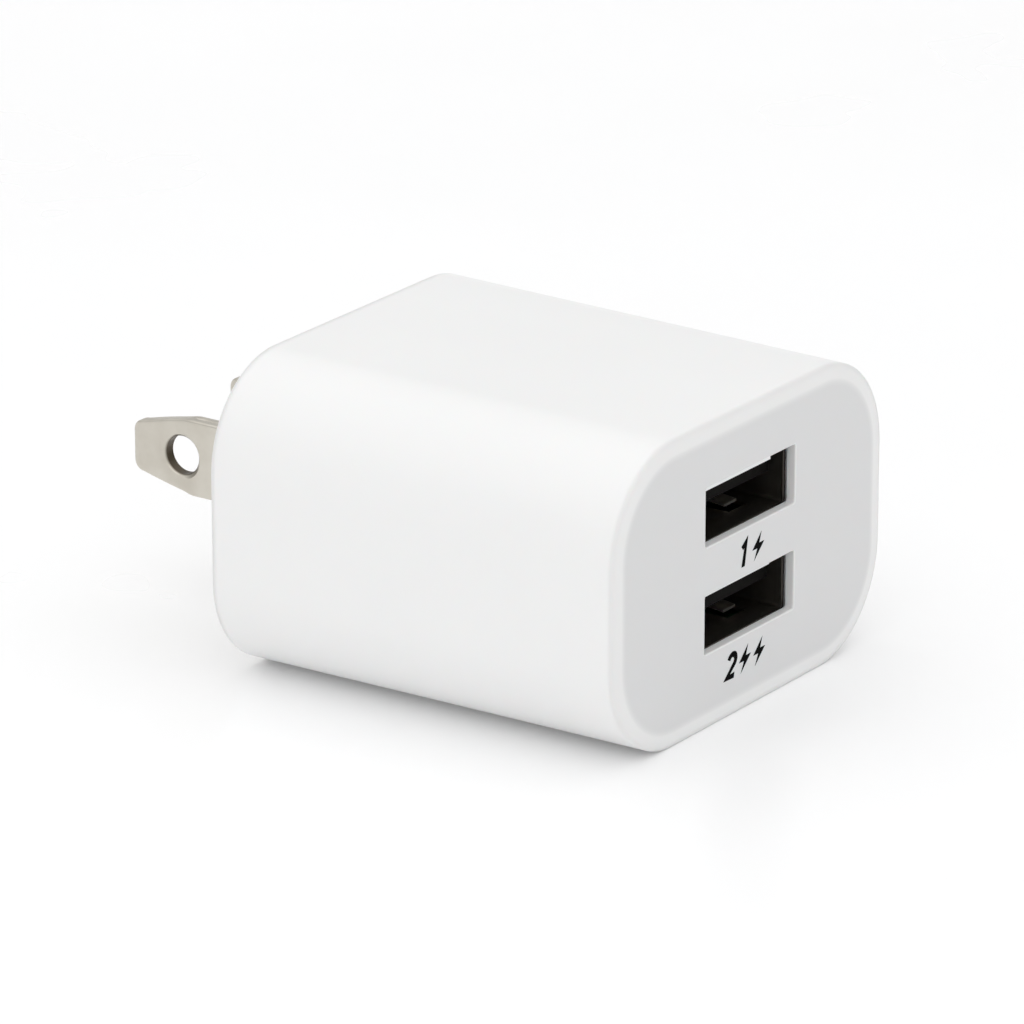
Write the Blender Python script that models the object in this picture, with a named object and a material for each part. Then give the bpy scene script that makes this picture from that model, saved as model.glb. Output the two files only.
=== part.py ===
"""USB wall charger: a moulded cube with two USB-A sockets and two fixed mains blades.

Metres, +Z up. The origin is on the wall face, midway between the blades. +Y points into the wall
outlet, along the blades, and -Y out of the socket face. The housing is open at the wall end and is
closed there by the rear cover, which carries the blades. The main board lies on rails in the
housing, and an upright board carries the two sockets.
"""

import bmesh
import bpy
from math import cos, pi, radians, sin
from mathutils import Vector

MM = 0.001

# Fit between neighbouring pieces, and how far a guide shape runs past the surface that it works on.
GAP = 0.3 * MM
OVERSHOOT = 1.0 * MM

# Housing. The height and width grow slightly towards the wall end, as a moulding's draft does.
BODY_LENGTH = 37.5 * MM
FRONT_WIDTH = 37.5 * MM
FRONT_HEIGHT = 24.75 * MM
REAR_WIDTH = 37.6 * MM
REAR_HEIGHT = 25.5 * MM
CORNER_RADIUS = 8.4 * MM
BODY_Z = -0.2 * MM
CORNER_STEPS = 10
WALL = 1.8 * MM
FRONT_WALL = 2.0 * MM
WINDOW_WALL = 0.8 * MM
RIM_WIDTH = 1.9 * MM
RIM_DEPTH = 0.25 * MM
RIM_ANGLES = (15, 30, 45, 60, 75, 90)
REAR_FILLET = 0.15 * MM
FRONT_Y = -BODY_LENGTH
REAR_Y = 0.0

# Socket windows in the front face.
SOCKET_CENTRES = {"upper": BODY_Z + 4.86 * MM, "lower": BODY_Z - 3.84 * MM}
WINDOW_WIDTH = 12.5 * MM
WINDOW_HEIGHT = 4.8 * MM
LIP_SHARE = 0.73
LIP_DROP = {"upper": 0.27 * MM, "lower": 0.12 * MM}

# USB-A receptacles.
SHELL_WIDTH = 13.1 * MM
SHELL_HEIGHT = 5.72 * MM
SHELL_SHEET = 0.3 * MM
SHELL_CORNER = 0.6 * MM
SHELL_LENGTH = 13.0 * MM
SHELL_FRONT_Y = FRONT_Y + WINDOW_WALL + GAP
SHELL_REAR_Y = SHELL_FRONT_Y + SHELL_LENGTH
FINGER_XS = (-3.2 * MM, 3.2 * MM)
FINGER_WIDTH = 1.7 * MM
FINGER_SHEET = 0.22 * MM
FINGER_SINK = 0.04 * MM
FINGER_DIP = 0.55 * MM
FINGER_SWEEP = 1.35
FINGER_STEPS = 6
FINGER_ROOT = 0.25 * MM
FINGER_TIP_GAP = 0.7 * MM
FINGER_SLOT_SETBACK = 2.2 * MM
FINGER_SLOT_LENGTH = 6.0 * MM
FINGER_SLOT_WIDTH = 2.5 * MM
TONGUE_WIDTH = 11.1 * MM
TONGUE_THICKNESS = 1.84 * MM
TONGUE_RISE = 0.95 * MM
TONGUE_SETBACK = 1.0 * MM
INSULATOR_BASE_LENGTH = 3.2 * MM
CONTACT_XS = (-3.5 * MM, -1.0 * MM, 1.0 * MM, 3.5 * MM)
CONTACT_WIDTH = 0.9 * MM
CONTACT_THICKNESS = 0.25 * MM
CONTACT_GROOVE = 0.6 * MM
CONTACT_GROOVE_SETBACK = 0.9 * MM
CONTACT_TIP_SETBACK = 1.5 * MM
CONTACT_RISE_LENGTH = 1.6 * MM
CONTACT_FALL_LENGTH = 2.2 * MM
CONTACT_BOW = 0.45 * MM
CONTACT_TAIL = 0.8 * MM

# Boards.
USB_BOARD_THICKNESS = 1.0 * MM
USB_BOARD_WIDTH = 14.6 * MM
USB_BOARD_TOP_Z = 8.7 * MM
USB_BOARD_Y = SHELL_REAR_Y + GAP
MAIN_BOARD_THICKNESS = 1.2 * MM
MAIN_BOARD_TOP_Z = -8.8 * MM
MAIN_BOARD_WIDTH = 27.0 * MM
MAIN_BOARD_FRONT_Y = FRONT_Y + FRONT_WALL + GAP
MAIN_BOARD_REAR_Y = -2.7 * MM
RAIL_WIDTH = 1.6 * MM
RAIL_STRETCHES = ((FRONT_Y + WALL, -22.0 * MM), (-9.0 * MM, MAIN_BOARD_REAR_Y))
KEEPER_HEIGHT = 0.7 * MM
KEEPER_OVERLAP = 0.6 * MM
KEEPER_ROOT = 0.4 * MM
LEAD_RADIUS = 0.3 * MM
WIRE_RADIUS = 0.65 * MM
LEAD_TAIL_Z = MAIN_BOARD_TOP_Z - MAIN_BOARD_THICKNESS - 0.45 * MM

# Rear cover and blades: the two-pole unpolarised plug of North America and Japan.
COVER_THICKNESS = 2.0 * MM
BOSS_DEPTH = 1.4 * MM
BOSS_MARGIN = 1.2 * MM
BLADE_PITCH = 12.7 * MM
BLADE_WIDTH = 6.35 * MM
BLADE_THICKNESS = 1.52 * MM
BLADE_REACH = 16.8 * MM
BLADE_HOLE_Y = 11.9 * MM
BLADE_HOLE_RADIUS = 1.6 * MM
BLADE_TAPER_LENGTH = 6.0 * MM
BLADE_TIP_WIDTH = 4.3 * MM
BLADE_TIP_BEVEL = 0.45 * MM
TIP_THICKNESS = 1.1 * MM
TIP_EDGE_THICKNESS = 0.7 * MM
COIN_SLOPE = 1.2 * MM
TAIL_WIDTH = 3.6 * MM
TAIL_END_Y = -6.2 * MM
TAIL_HOLE_Y = -4.9 * MM
TAIL_HOLE_RADIUS = 0.7 * MM
TAIL_SHOULDER_Y = -1.0 * MM
SHOULDER_SLOPE = 1.0 * MM
ROOT_THICKNESS = 1.42 * MM
ROOT_END_Y = 0.15 * MM
BLADE_FACE_Y = 0.45 * MM
BLADE_EDGE = 0.22 * MM

# Transformer: two E-shaped ferrite halves around a wound bobbin.
CORE_CENTRE = Vector((3.4 * MM, -14.4 * MM, -2.0 * MM))
CORE_LENGTH = 15.6 * MM
CORE_HEIGHT = 11.6 * MM
CORE_DEPTH = 4.4 * MM
CORE_LEG = 2.1 * MM
CORE_CENTRE_LEG = 3.4 * MM
CORE_BACK = 2.3 * MM
CORE_EDGE = 0.2 * MM
BOBBIN_WALL = 0.6 * MM
BOBBIN_DEPTH = 11.4 * MM
BOBBIN_RAIL_SHARE = 0.9
BOBBIN_PIN_RADIUS = 0.25 * MM
BOBBIN_PIN_INSET = 0.8 * MM
WINDING_DEPTH = 10.0 * MM
WINDING_CORNER = 1.4 * MM

# Capacitors.
CAN_CRIMP_HEIGHT = 1.6 * MM
CAN_CRIMP_DEPTH = 0.35 * MM
CAN_CRIMP_SLOPE = 0.4 * MM
CAN_EDGE = 0.5 * MM
DISC_X = 12.6 * MM
DISC_RADIUS = 3.9 * MM
DISC_THICKNESS = 2.8 * MM
DISC_STAND = 2.0 * MM
DISC_LEAD_Y = 2.4 * MM
DISC_LEAD_TOP = 1.6 * MM

# Parts on bent wires.
AXIAL_EDGE = 0.25 * MM
LEAD_BEND = 0.5 * MM

# Surface-mounted packages.
CHIP_EDGE = 0.12 * MM
CHIP_LEAD_SHEET = 0.2 * MM
CHIP_LEAD_WIDTH = 0.4 * MM
CHIP_LEAD_ROOT = 0.3 * MM
CHIP_LEAD_KNEE = 0.35 * MM
CHIP_LEAD_FOOT = 0.5 * MM

# Mains wires: how far each end runs straight up or down before it curves.
WIRE_TOP_Z = 0.6 * MM
WIRE_STRAIGHT = 3.0 * MM
WIRE_STEPS = 14

# Insulating sheet behind the sockets' board.
SHEET_SETBACK = 1.2 * MM
SHEET_THICKNESS = 0.25 * MM
SHEET_X = (-6.2 * MM, 8.2 * MM)
SHEET_TOP_Z = 9.3 * MM

MATERIALS = {
    "housing_white": ((0.87, 0.87, 0.86), 0.3, 0.0),
    "nickel": ((0.62, 0.58, 0.52), 0.32, 1.0),
    "tinned_steel": ((0.66, 0.66, 0.67), 0.28, 1.0),
    "black_nylon": ((0.02, 0.02, 0.022), 0.45, 0.0),
    "gold_contact": ((0.83, 0.6, 0.25), 0.25, 1.0),
    "board_green": ((0.03, 0.2, 0.08), 0.45, 0.0),
    "ferrite": ((0.07, 0.07, 0.075), 0.6, 0.0),
    "bobbin_black": ((0.03, 0.03, 0.03), 0.5, 0.0),
    "winding_tape": ((0.75, 0.6, 0.08), 0.35, 0.0),
    "capacitor_sleeve": ((0.02, 0.03, 0.05), 0.35, 0.0),
    "disc_blue": ((0.03, 0.13, 0.42), 0.4, 0.0),
    "chip_epoxy": ((0.025, 0.025, 0.027), 0.55, 0.0),
    "resistor_grey": ((0.3, 0.36, 0.33), 0.5, 0.0),
    "choke_green": ((0.1, 0.35, 0.17), 0.5, 0.0),
    "wire_red": ((0.5, 0.03, 0.025), 0.4, 0.0),
    "wire_black": ((0.02, 0.02, 0.02), 0.4, 0.0),
    "insulation_paper": ((0.62, 0.55, 0.38), 0.8, 0.0),
}


def clear_scene():
    """Remove whatever the file opened with."""
    for old in list(bpy.data.objects):
        bpy.data.objects.remove(old, do_unlink=True)


def material(name):
    """Return the named material, made the first time that it is asked for."""
    found = bpy.data.materials.get(name)
    if found:
        return found
    colour, roughness, metallic = MATERIALS[name]
    made = bpy.data.materials.new(name)
    made.use_nodes = True
    shader = made.node_tree.nodes["Principled BSDF"]
    shader.inputs["Base Color"].default_value = (*colour, 1.0)
    shader.inputs["Roughness"].default_value = roughness
    shader.inputs["Metallic"].default_value = metallic
    return made


def make_object(name, bm, material_name=None):
    """Turn a bmesh into a linked object with outward normals."""
    bmesh.ops.recalc_face_normals(bm, faces=bm.faces)
    mesh = bpy.data.meshes.new(name)
    bm.to_mesh(mesh)
    bm.free()
    made = bpy.data.objects.new(name, mesh)
    bpy.context.scene.collection.objects.link(made)
    if material_name:
        mesh.materials.append(material(material_name))
    return made


def smooth(made, angle=35.0):
    """Shade an object's round stretches smooth and keep its corners crisp."""
    made.data.shade_smooth()
    made.data.set_sharp_from_angle(angle=radians(angle))


def combine(target, operation, bm):
    """Cut a guide shape from an object, or join it on."""
    guide = make_object(f"{target.name}_{operation.lower()}_{len(target.modifiers)}", bm)
    guide.hide_render = True
    guide.display_type = "WIRE"
    step = target.modifiers.new(guide.name, "BOOLEAN")
    step.operation = operation
    step.solver = "EXACT"
    step.object = guide


def cut(target, bm):
    combine(target, "DIFFERENCE", bm)


def join(target, bm):
    combine(target, "UNION", bm)


def add_box(bm, low, high):
    """Add a box between two corners."""
    low, high = Vector(low), Vector(high)
    for vert in bmesh.ops.create_cube(bm, size=1.0)["verts"]:
        vert.co = [
            low[i] + (vert.co[i] + 0.5) * (high[i] - low[i])
            for i in range(3)
        ]


def add_centred_box(bm, centre, size):
    """Add a box about a centre."""
    half = Vector(size) / 2
    add_box(bm, Vector(centre) - half, Vector(centre) + half)


def add_loft(bm, rings):
    """Skin a closed body through rings of the same number of points, and close both ends."""
    loops = [[bm.verts.new(point) for point in ring] for ring in rings]
    count = len(loops[0])
    for near, far in zip(loops, loops[1:]):
        for i in range(count):
            j = (i + 1) % count
            bm.faces.new((near[i], near[j], far[j], far[i]))
    bm.faces.new(loops[0])
    bm.faces.new(loops[-1])


def rounded_ring(width, height, radius, y, centre_z=0.0, steps=CORNER_STEPS, centre_x=0.0):
    """Points round a rounded rectangle that stands across the Y axis."""
    points = []
    for corner in range(4):
        side_x = 1 if corner in (0, 3) else -1
        side_z = 1 if corner in (0, 1) else -1
        for step in range(steps + 1):
            angle = (corner + step / steps) * pi / 2
            x = side_x * (width / 2 - radius) + radius * cos(angle)
            z = side_z * (height / 2 - radius) + radius * sin(angle)
            points.append(Vector((centre_x + x, y, centre_z + z)))
    return points


def circle_ring(centre, axis, radius, sides):
    """Points round a circle across an axis."""
    axis = Vector(axis).normalized()
    across = axis.orthogonal().normalized()
    along = axis.cross(across)
    return [
        Vector(centre) + radius * (cos(angle) * across + sin(angle) * along)
        for angle in (2 * pi * i / sides for i in range(sides))
    ]


def add_turned(bm, base, axis, profile, sides=20):
    """Add a turned body from (distance along the axis, radius) steps."""
    axis = Vector(axis).normalized()
    rings = [
        circle_ring(Vector(base) + axis * distance, axis, radius, sides)
        for distance, radius in profile
    ]
    add_loft(bm, rings)


def add_rod(bm, start, end, radius, sides=8):
    """Add a straight round rod."""
    start, end = Vector(start), Vector(end)
    add_turned(bm, start, end - start, [(0.0, radius), ((end - start).length, radius)], sides)


def add_lead(bm, points, radius=LEAD_RADIUS, sides=8):
    """Add a bent wire lead through points in one upright plane, mitred at each bend."""
    points = [Vector(point) for point in points]
    across = (points[1] - points[0]).cross(points[2] - points[1]).normalized()
    rings = []
    for i, point in enumerate(points):
        before = (point - points[i - 1]).normalized() if i else None
        after = (points[i + 1] - point).normalized() if i + 1 < len(points) else None
        direction = ((before or after) + (after or before)).normalized()
        stretch = 1.0 / direction.dot(after or before)
        up = direction.cross(across).normalized()
        rings.append([
            point + radius * (cos(angle) * across + sin(angle) * stretch * up)
            for angle in (2 * pi * k / sides for k in range(sides))
        ])
    add_loft(bm, rings)


def add_strip(bm, outline, low_x, high_x):
    """Extrude an outline of (y, z) points between two places on the X axis."""
    rings = [[Vector((x, y, z)) for y, z in outline] for x in (low_x, high_x)]
    add_loft(bm, rings)


def body_size_at(y):
    """Width and height of the housing at a distance along its length."""
    share = (y - FRONT_Y) / BODY_LENGTH
    width = FRONT_WIDTH + share * (REAR_WIDTH - FRONT_WIDTH)
    height = FRONT_HEIGHT + share * (REAR_HEIGHT - FRONT_HEIGHT)
    return width, height


def body_ring(y, inset):
    """The housing's outline at y, moved inwards."""
    width, height = body_size_at(y)
    return rounded_ring(width - 2 * inset, height - 2 * inset, CORNER_RADIUS - inset, y, BODY_Z)


def housing_outside():
    """The rounded block: its front face curves back a little all round, its rear edge is soft."""
    rings = [body_ring(FRONT_Y, RIM_WIDTH)]
    for angle in RIM_ANGLES:
        inset = RIM_WIDTH * (1 - sin(radians(angle)))
        y = FRONT_Y + RIM_DEPTH * (1 - cos(radians(angle)))
        rings.append(body_ring(y, inset))
    for angle in (90, 45, 0):
        inset = REAR_FILLET * (1 - sin(radians(angle)))
        y = REAR_Y - REAR_FILLET * (1 - cos(radians(angle)))
        rings.append(body_ring(y, inset))
    return rings


def window_cutter(bm, level):
    """A socket window: a plain oblong, its left stretch lowered by a small lip."""
    centre_z = SOCKET_CENTRES[level]
    top = centre_z + WINDOW_HEIGHT / 2
    bottom = centre_z - WINDOW_HEIGHT / 2
    left = -WINDOW_WIDTH / 2
    step_x = left + LIP_SHARE * WINDOW_WIDTH
    front = FRONT_Y - OVERSHOOT
    back = FRONT_Y + FRONT_WALL + OVERSHOOT
    lip_z = top - LIP_DROP[level]
    corners = (
        (left, bottom), (-left, bottom), (-left, top), (step_x, top), (step_x, lip_z), (left, lip_z),
    )
    add_loft(bm, [[Vector((x, y, z)) for x, z in corners] for y in (front, back)])


def housing():
    """The main moulding: walls, front face with two windows, and rails for the main board."""
    bm = bmesh.new()
    add_loft(bm, housing_outside())
    made = make_object("housing", bm, "housing_white")
    smooth(made, 20.0)

    bm = bmesh.new()
    mouth = body_ring(REAR_Y, WALL)
    beyond = [point + Vector((0, OVERSHOOT, 0)) for point in mouth]
    add_loft(bm, [body_ring(FRONT_Y + FRONT_WALL, WALL), mouth, beyond])
    cut(made, bm)

    bm = bmesh.new()
    for level in SOCKET_CENTRES:
        window_cutter(bm, level)
    cut(made, bm)

    bm = bmesh.new()
    for centre_z in SOCKET_CENTRES.values():
        half_width = SHELL_WIDTH / 2 + GAP
        half_height = SHELL_HEIGHT / 2 + GAP
        add_box(bm, (-half_width, FRONT_Y + WINDOW_WALL, centre_z - half_height),
                (half_width, FRONT_Y + FRONT_WALL + OVERSHOOT, centre_z + half_height))
    cut(made, bm)

    add_board_rails(made)


def add_board_rails(made):
    """Rails under the main board's sides, and a keeper over each of its front corners."""
    bm = bmesh.new()
    rail_top = MAIN_BOARD_TOP_Z - MAIN_BOARD_THICKNESS - GAP
    rail_bottom = BODY_Z - FRONT_HEIGHT / 2 + WALL / 2
    for side in (-1, 1):
        centre_x = side * (MAIN_BOARD_WIDTH - RAIL_WIDTH) / 2
        for rail_front, rail_rear in RAIL_STRETCHES:
            add_box(bm, (centre_x - RAIL_WIDTH / 2, rail_front, rail_bottom),
                    (centre_x + RAIL_WIDTH / 2, rail_rear, rail_top))
        keeper_low = MAIN_BOARD_TOP_Z + GAP
        outer_x = side * (FRONT_WIDTH / 2 - WALL - KEEPER_ROOT)
        low_x, high_x = sorted((centre_x, outer_x))
        add_box(bm, (low_x, FRONT_Y + WALL, keeper_low),
                (high_x, MAIN_BOARD_FRONT_Y + KEEPER_OVERLAP, keeper_low + KEEPER_HEIGHT))
    join(made, bm)


def blade_xs():
    return {"left": -BLADE_PITCH / 2, "right": BLADE_PITCH / 2}


def rear_cover():
    """The plate that closes the wall end, flush with the housing, with a boss round each blade."""
    inset = WALL + GAP
    bm = bmesh.new()
    add_loft(bm, [body_ring(REAR_Y - COVER_THICKNESS, inset), body_ring(REAR_Y, inset)])
    made = make_object("rear_cover", bm, "housing_white")
    smooth(made)

    bm = bmesh.new()
    for x in blade_xs().values():
        boss_width = BLADE_THICKNESS + 2 * (GAP + BOSS_MARGIN)
        boss_height = BLADE_WIDTH + 2 * (GAP + BOSS_MARGIN)
        rings = [
            rounded_ring(boss_width, boss_height, BOSS_MARGIN, y, 0.0, 4, x)
            for y in (REAR_Y - COVER_THICKNESS - BOSS_DEPTH, REAR_Y - COVER_THICKNESS / 2)
        ]
        add_loft(bm, rings)
    join(made, bm)

    bm = bmesh.new()
    for x in blade_xs().values():
        half_x = BLADE_THICKNESS / 2 + GAP
        half_z = BLADE_WIDTH / 2 + GAP
        add_box(bm, (x - half_x, TAIL_END_Y, -half_z), (x + half_x, OVERSHOOT, half_z))
    cut(made, bm)


def blade(side):
    """A folded contact blade: a thinned, tapered tip, a locking hole, a thinner root and a tail."""
    x = blade_xs()[side]
    tip_width = BLADE_TIP_WIDTH - 2 * BLADE_TIP_BEVEL
    coin_share = COIN_SLOPE / (BLADE_TAPER_LENGTH - BLADE_TIP_BEVEL)
    coin_width = BLADE_WIDTH + coin_share * (BLADE_TIP_WIDTH - BLADE_WIDTH)
    taper_y = BLADE_REACH - BLADE_TAPER_LENGTH
    stations = (
        (TAIL_END_Y, TAIL_WIDTH, ROOT_THICKNESS),
        (TAIL_SHOULDER_Y - SHOULDER_SLOPE, TAIL_WIDTH, ROOT_THICKNESS),
        (TAIL_SHOULDER_Y, BLADE_WIDTH, ROOT_THICKNESS),
        (ROOT_END_Y, BLADE_WIDTH, ROOT_THICKNESS),
        (BLADE_FACE_Y, BLADE_WIDTH, BLADE_THICKNESS),
        (taper_y, BLADE_WIDTH, BLADE_THICKNESS),
        (taper_y + COIN_SLOPE, coin_width, TIP_THICKNESS),
        (BLADE_REACH - BLADE_TIP_BEVEL, BLADE_TIP_WIDTH, TIP_THICKNESS),
        (BLADE_REACH, tip_width, TIP_EDGE_THICKNESS),
    )
    bm = bmesh.new()
    add_loft(bm, [
        [
            Vector((x + across * thickness / 2, y, up * width / 2))
            for across, up in ((-1, -1), (1, -1), (1, 1), (-1, 1))
        ]
        for y, width, thickness in stations
    ])
    made = make_object(f"blade_{side}", bm, "nickel")
    edge = made.modifiers.new("rolled edges", "BEVEL")
    edge.width = BLADE_EDGE
    edge.segments = 2
    edge.limit_method = "ANGLE"

    bm = bmesh.new()
    for y, radius in ((BLADE_HOLE_Y, BLADE_HOLE_RADIUS), (TAIL_HOLE_Y, TAIL_HOLE_RADIUS)):
        add_rod(bm, (x - BLADE_THICKNESS, y, 0), (x + BLADE_THICKNESS, y, 0), radius, 24)
    cut(made, bm)


def usb_shell(level):
    """A receptacle's folded sheet shell, with four sprung fingers that grip the plug."""
    centre_z = SOCKET_CENTRES[level]
    bm = bmesh.new()
    add_loft(bm, [
        rounded_ring(SHELL_WIDTH, SHELL_HEIGHT, SHELL_CORNER, y, centre_z, 4)
        for y in (SHELL_FRONT_Y, SHELL_REAR_Y)
    ])
    made = make_object(f"usb_shell_{level}", bm, "tinned_steel")
    smooth(made)

    bm = bmesh.new()
    add_loft(bm, [
        rounded_ring(SHELL_WIDTH - 2 * SHELL_SHEET, SHELL_HEIGHT - 2 * SHELL_SHEET,
                     SHELL_CORNER - SHELL_SHEET, y, centre_z, 4)
        for y in (SHELL_FRONT_Y - OVERSHOOT, SHELL_REAR_Y + OVERSHOOT)
    ])
    cut(made, bm)

    slot_front = SHELL_FRONT_Y + FINGER_SLOT_SETBACK
    slot_rear = slot_front + FINGER_SLOT_LENGTH
    bm = bmesh.new()
    for x in FINGER_XS:
        for side in (-1, 1):
            wall_z = centre_z + side * SHELL_HEIGHT / 2
            add_box(bm, (x - FINGER_SLOT_WIDTH / 2, slot_front, wall_z - OVERSHOOT / 2),
                    (x + FINGER_SLOT_WIDTH / 2, slot_rear, wall_z + OVERSHOOT / 2))
    cut(made, bm)

    bm = bmesh.new()
    for x in FINGER_XS:
        for side in (-1, 1):
            add_strip(bm, finger_outline(centre_z, side, slot_front, slot_rear),
                      x - FINGER_WIDTH / 2, x + FINGER_WIDTH / 2)
    join(made, bm)


def finger_outline(centre_z, side, slot_front, slot_rear):
    """Side view of a sprung finger: rooted at the slot's rear, dipping into the socket."""
    inner = []
    outer = []
    start = slot_rear + FINGER_ROOT
    end = slot_front + FINGER_TIP_GAP
    for i in range(FINGER_STEPS + 1):
        share = i / FINGER_STEPS
        y = start + share * (end - start)
        dip = FINGER_DIP * (1 - cos(pi * FINGER_SWEEP * share)) / 2
        z = SHELL_HEIGHT / 2 - FINGER_SINK - dip
        outer.append((y, centre_z + side * z))
        inner.append((y, centre_z + side * (z - FINGER_SHEET)))
    return outer + inner[::-1]


def tongue_levels(level):
    """Lowest and highest point of a socket's tongue."""
    middle = SOCKET_CENTRES[level] + TONGUE_RISE
    return middle - TONGUE_THICKNESS / 2, middle + TONGUE_THICKNESS / 2


def usb_insulator(level):
    """A receptacle's tongue and rear block, with a groove and channel for each of four contacts."""
    centre_z = SOCKET_CENTRES[level]
    low, high = tongue_levels(level)
    base_front = SHELL_REAR_Y - INSULATOR_BASE_LENGTH
    half_width = SHELL_WIDTH / 2 - SHELL_SHEET - GAP
    half_height = SHELL_HEIGHT / 2 - SHELL_SHEET - GAP
    bm = bmesh.new()
    add_box(bm, (-half_width, base_front, centre_z - half_height),
            (half_width, SHELL_REAR_Y, centre_z + half_height))
    made = make_object(f"usb_insulator_{level}", bm, "black_nylon")

    bm = bmesh.new()
    add_box(bm, (-TONGUE_WIDTH / 2, SHELL_FRONT_Y + TONGUE_SETBACK, low),
            (TONGUE_WIDTH / 2, base_front + OVERSHOOT, high))
    join(made, bm)

    bm = bmesh.new()
    groove_half = CONTACT_WIDTH / 2 + GAP
    groove_front = SHELL_FRONT_Y + TONGUE_SETBACK + CONTACT_GROOVE_SETBACK
    channel_low = low + CONTACT_GROOVE - 2 * GAP - CONTACT_THICKNESS
    for x in CONTACT_XS:
        add_box(bm, (x - groove_half, groove_front, channel_low),
                (x + groove_half, SHELL_REAR_Y + OVERSHOOT, low + CONTACT_GROOVE))
    cut(made, bm)


def usb_contact(level, number, x):
    """One contact: a flat spring under the tongue whose tail runs through the upright board."""
    low, _high = tongue_levels(level)
    top = low + CONTACT_GROOVE - GAP
    tip_y = SHELL_FRONT_Y + TONGUE_SETBACK + CONTACT_TIP_SETBACK
    crest_y = tip_y + CONTACT_RISE_LENGTH
    flat_y = crest_y + CONTACT_FALL_LENGTH
    tail_y = USB_BOARD_Y + USB_BOARD_THICKNESS + CONTACT_TAIL
    upper = [(tip_y, top), (crest_y, top - CONTACT_BOW), (flat_y, top), (tail_y, top)]
    outline = upper + [(y, z - CONTACT_THICKNESS) for y, z in upper[::-1]]
    bm = bmesh.new()
    add_strip(bm, outline, x - CONTACT_WIDTH / 2, x + CONTACT_WIDTH / 2)
    make_object(f"usb_contact_{level}_{number}", bm, "gold_contact")


def usb_board():
    """The upright board behind the receptacles, with a slot for each contact's tail."""
    bm = bmesh.new()
    add_box(bm, (-USB_BOARD_WIDTH / 2, USB_BOARD_Y, MAIN_BOARD_TOP_Z + GAP),
            (USB_BOARD_WIDTH / 2, USB_BOARD_Y + USB_BOARD_THICKNESS, USB_BOARD_TOP_Z))
    made = make_object("usb_board", bm, "board_green")

    bm = bmesh.new()
    for level in SOCKET_CENTRES:
        low, _high = tongue_levels(level)
        middle_z = low + CONTACT_GROOVE - GAP - CONTACT_THICKNESS / 2
        for x in CONTACT_XS:
            depth = 2 * (USB_BOARD_THICKNESS + OVERSHOOT)
            add_centred_box(bm, (x, USB_BOARD_Y, middle_z),
                            (CONTACT_WIDTH + 2 * GAP, depth, CONTACT_THICKNESS + 2 * GAP))
    cut(made, bm)


def main_board(lead_places):
    """The board on the housing's rails, with a hole for each lead."""
    half = MAIN_BOARD_WIDTH / 2
    top = MAIN_BOARD_TOP_Z
    bottom = top - MAIN_BOARD_THICKNESS
    bm = bmesh.new()
    add_box(bm, (-half, MAIN_BOARD_FRONT_Y, bottom), (half, MAIN_BOARD_REAR_Y, top))
    made = make_object("main_board", bm, "board_green")

    bm = bmesh.new()
    for x, y in lead_places:
        add_rod(bm, (x, y, bottom - OVERSHOOT), (x, y, top + OVERSHOOT), LEAD_RADIUS + GAP)
    cut(made, bm)


def e_core(side, sign):
    """Half of the ferrite core: a back and three legs that meet the other half's."""
    half_length = CORE_LENGTH / 2
    centre = CORE_CENTRE
    inner = sign * GAP / 2
    outer = sign * half_length
    back = sign * (half_length - CORE_BACK)
    half = CORE_HEIGHT / 2
    leg = half - CORE_LEG
    middle = CORE_CENTRE_LEG / 2
    profile = (
        (outer, -half), (inner, -half), (inner, -leg), (back, -leg), (back, -middle),
        (inner, -middle), (inner, middle), (back, middle), (back, leg), (inner, leg),
        (inner, half), (outer, half),
    )
    bm = bmesh.new()
    add_loft(bm, [
        [centre + Vector((x, y, z)) for x, z in profile]
        for y in (-CORE_DEPTH / 2, CORE_DEPTH / 2)
    ])
    made = make_object(f"transformer_core_{side}", bm, "ferrite")
    edge = made.modifiers.new("tumbled edges", "BEVEL")
    edge.width = CORE_EDGE
    edge.segments = 1
    edge.limit_method = "ANGLE"


def bobbin_half_length():
    """From the bobbin's middle to the outer side of either flange."""
    return CORE_LENGTH / 2 - CORE_BACK - GAP


def bobbin(lead_places):
    """The spool inside the core, with a pin rail that stands on the main board."""
    centre = CORE_CENTRE
    half_length = bobbin_half_length()
    window = CORE_HEIGHT / 2 - CORE_LEG - GAP
    bm = bmesh.new()
    tube_z = CORE_CENTRE_LEG / 2 + GAP + BOBBIN_WALL
    tube_y = CORE_DEPTH / 2 + GAP + BOBBIN_WALL
    add_centred_box(bm, centre, (2 * half_length, 2 * tube_y, 2 * tube_z))
    made = make_object("transformer_bobbin", bm, "bobbin_black")

    bm = bmesh.new()
    for sign in (-1, 1):
        x = centre.x + sign * (half_length - BOBBIN_WALL / 2)
        add_centred_box(bm, (x, centre.y, centre.z), (BOBBIN_WALL, BOBBIN_DEPTH, 2 * window))
    join(made, bm)
    add_bobbin_rails(made, half_length, centre.z - window + OVERSHOOT)
    add_bobbin_pins(made, half_length, lead_places)

    bm = bmesh.new()
    add_centred_box(bm, centre, (CORE_LENGTH, CORE_DEPTH + 2 * GAP, CORE_CENTRE_LEG + 2 * GAP))
    cut(made, bm)


def add_bobbin_rails(made, half_length, rail_top):
    """Four legs that carry the bobbin's flanges down to the main board."""
    centre = CORE_CENTRE
    bm = bmesh.new()
    rail_y = CORE_DEPTH / 2 + GAP
    for side in (-1, 1):
        near = centre.y + side * rail_y
        far = centre.y + side * BOBBIN_DEPTH / 2
        for sign in (-1, 1):
            x = centre.x + sign * (half_length - BOBBIN_WALL)
            low_x, high_x = sorted((x, x + sign * BOBBIN_WALL * BOBBIN_RAIL_SHARE))
            low_y, high_y = sorted((near, far))
            add_box(bm, (low_x, low_y, MAIN_BOARD_TOP_Z + GAP), (high_x, high_y, rail_top))
    join(made, bm)


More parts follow.
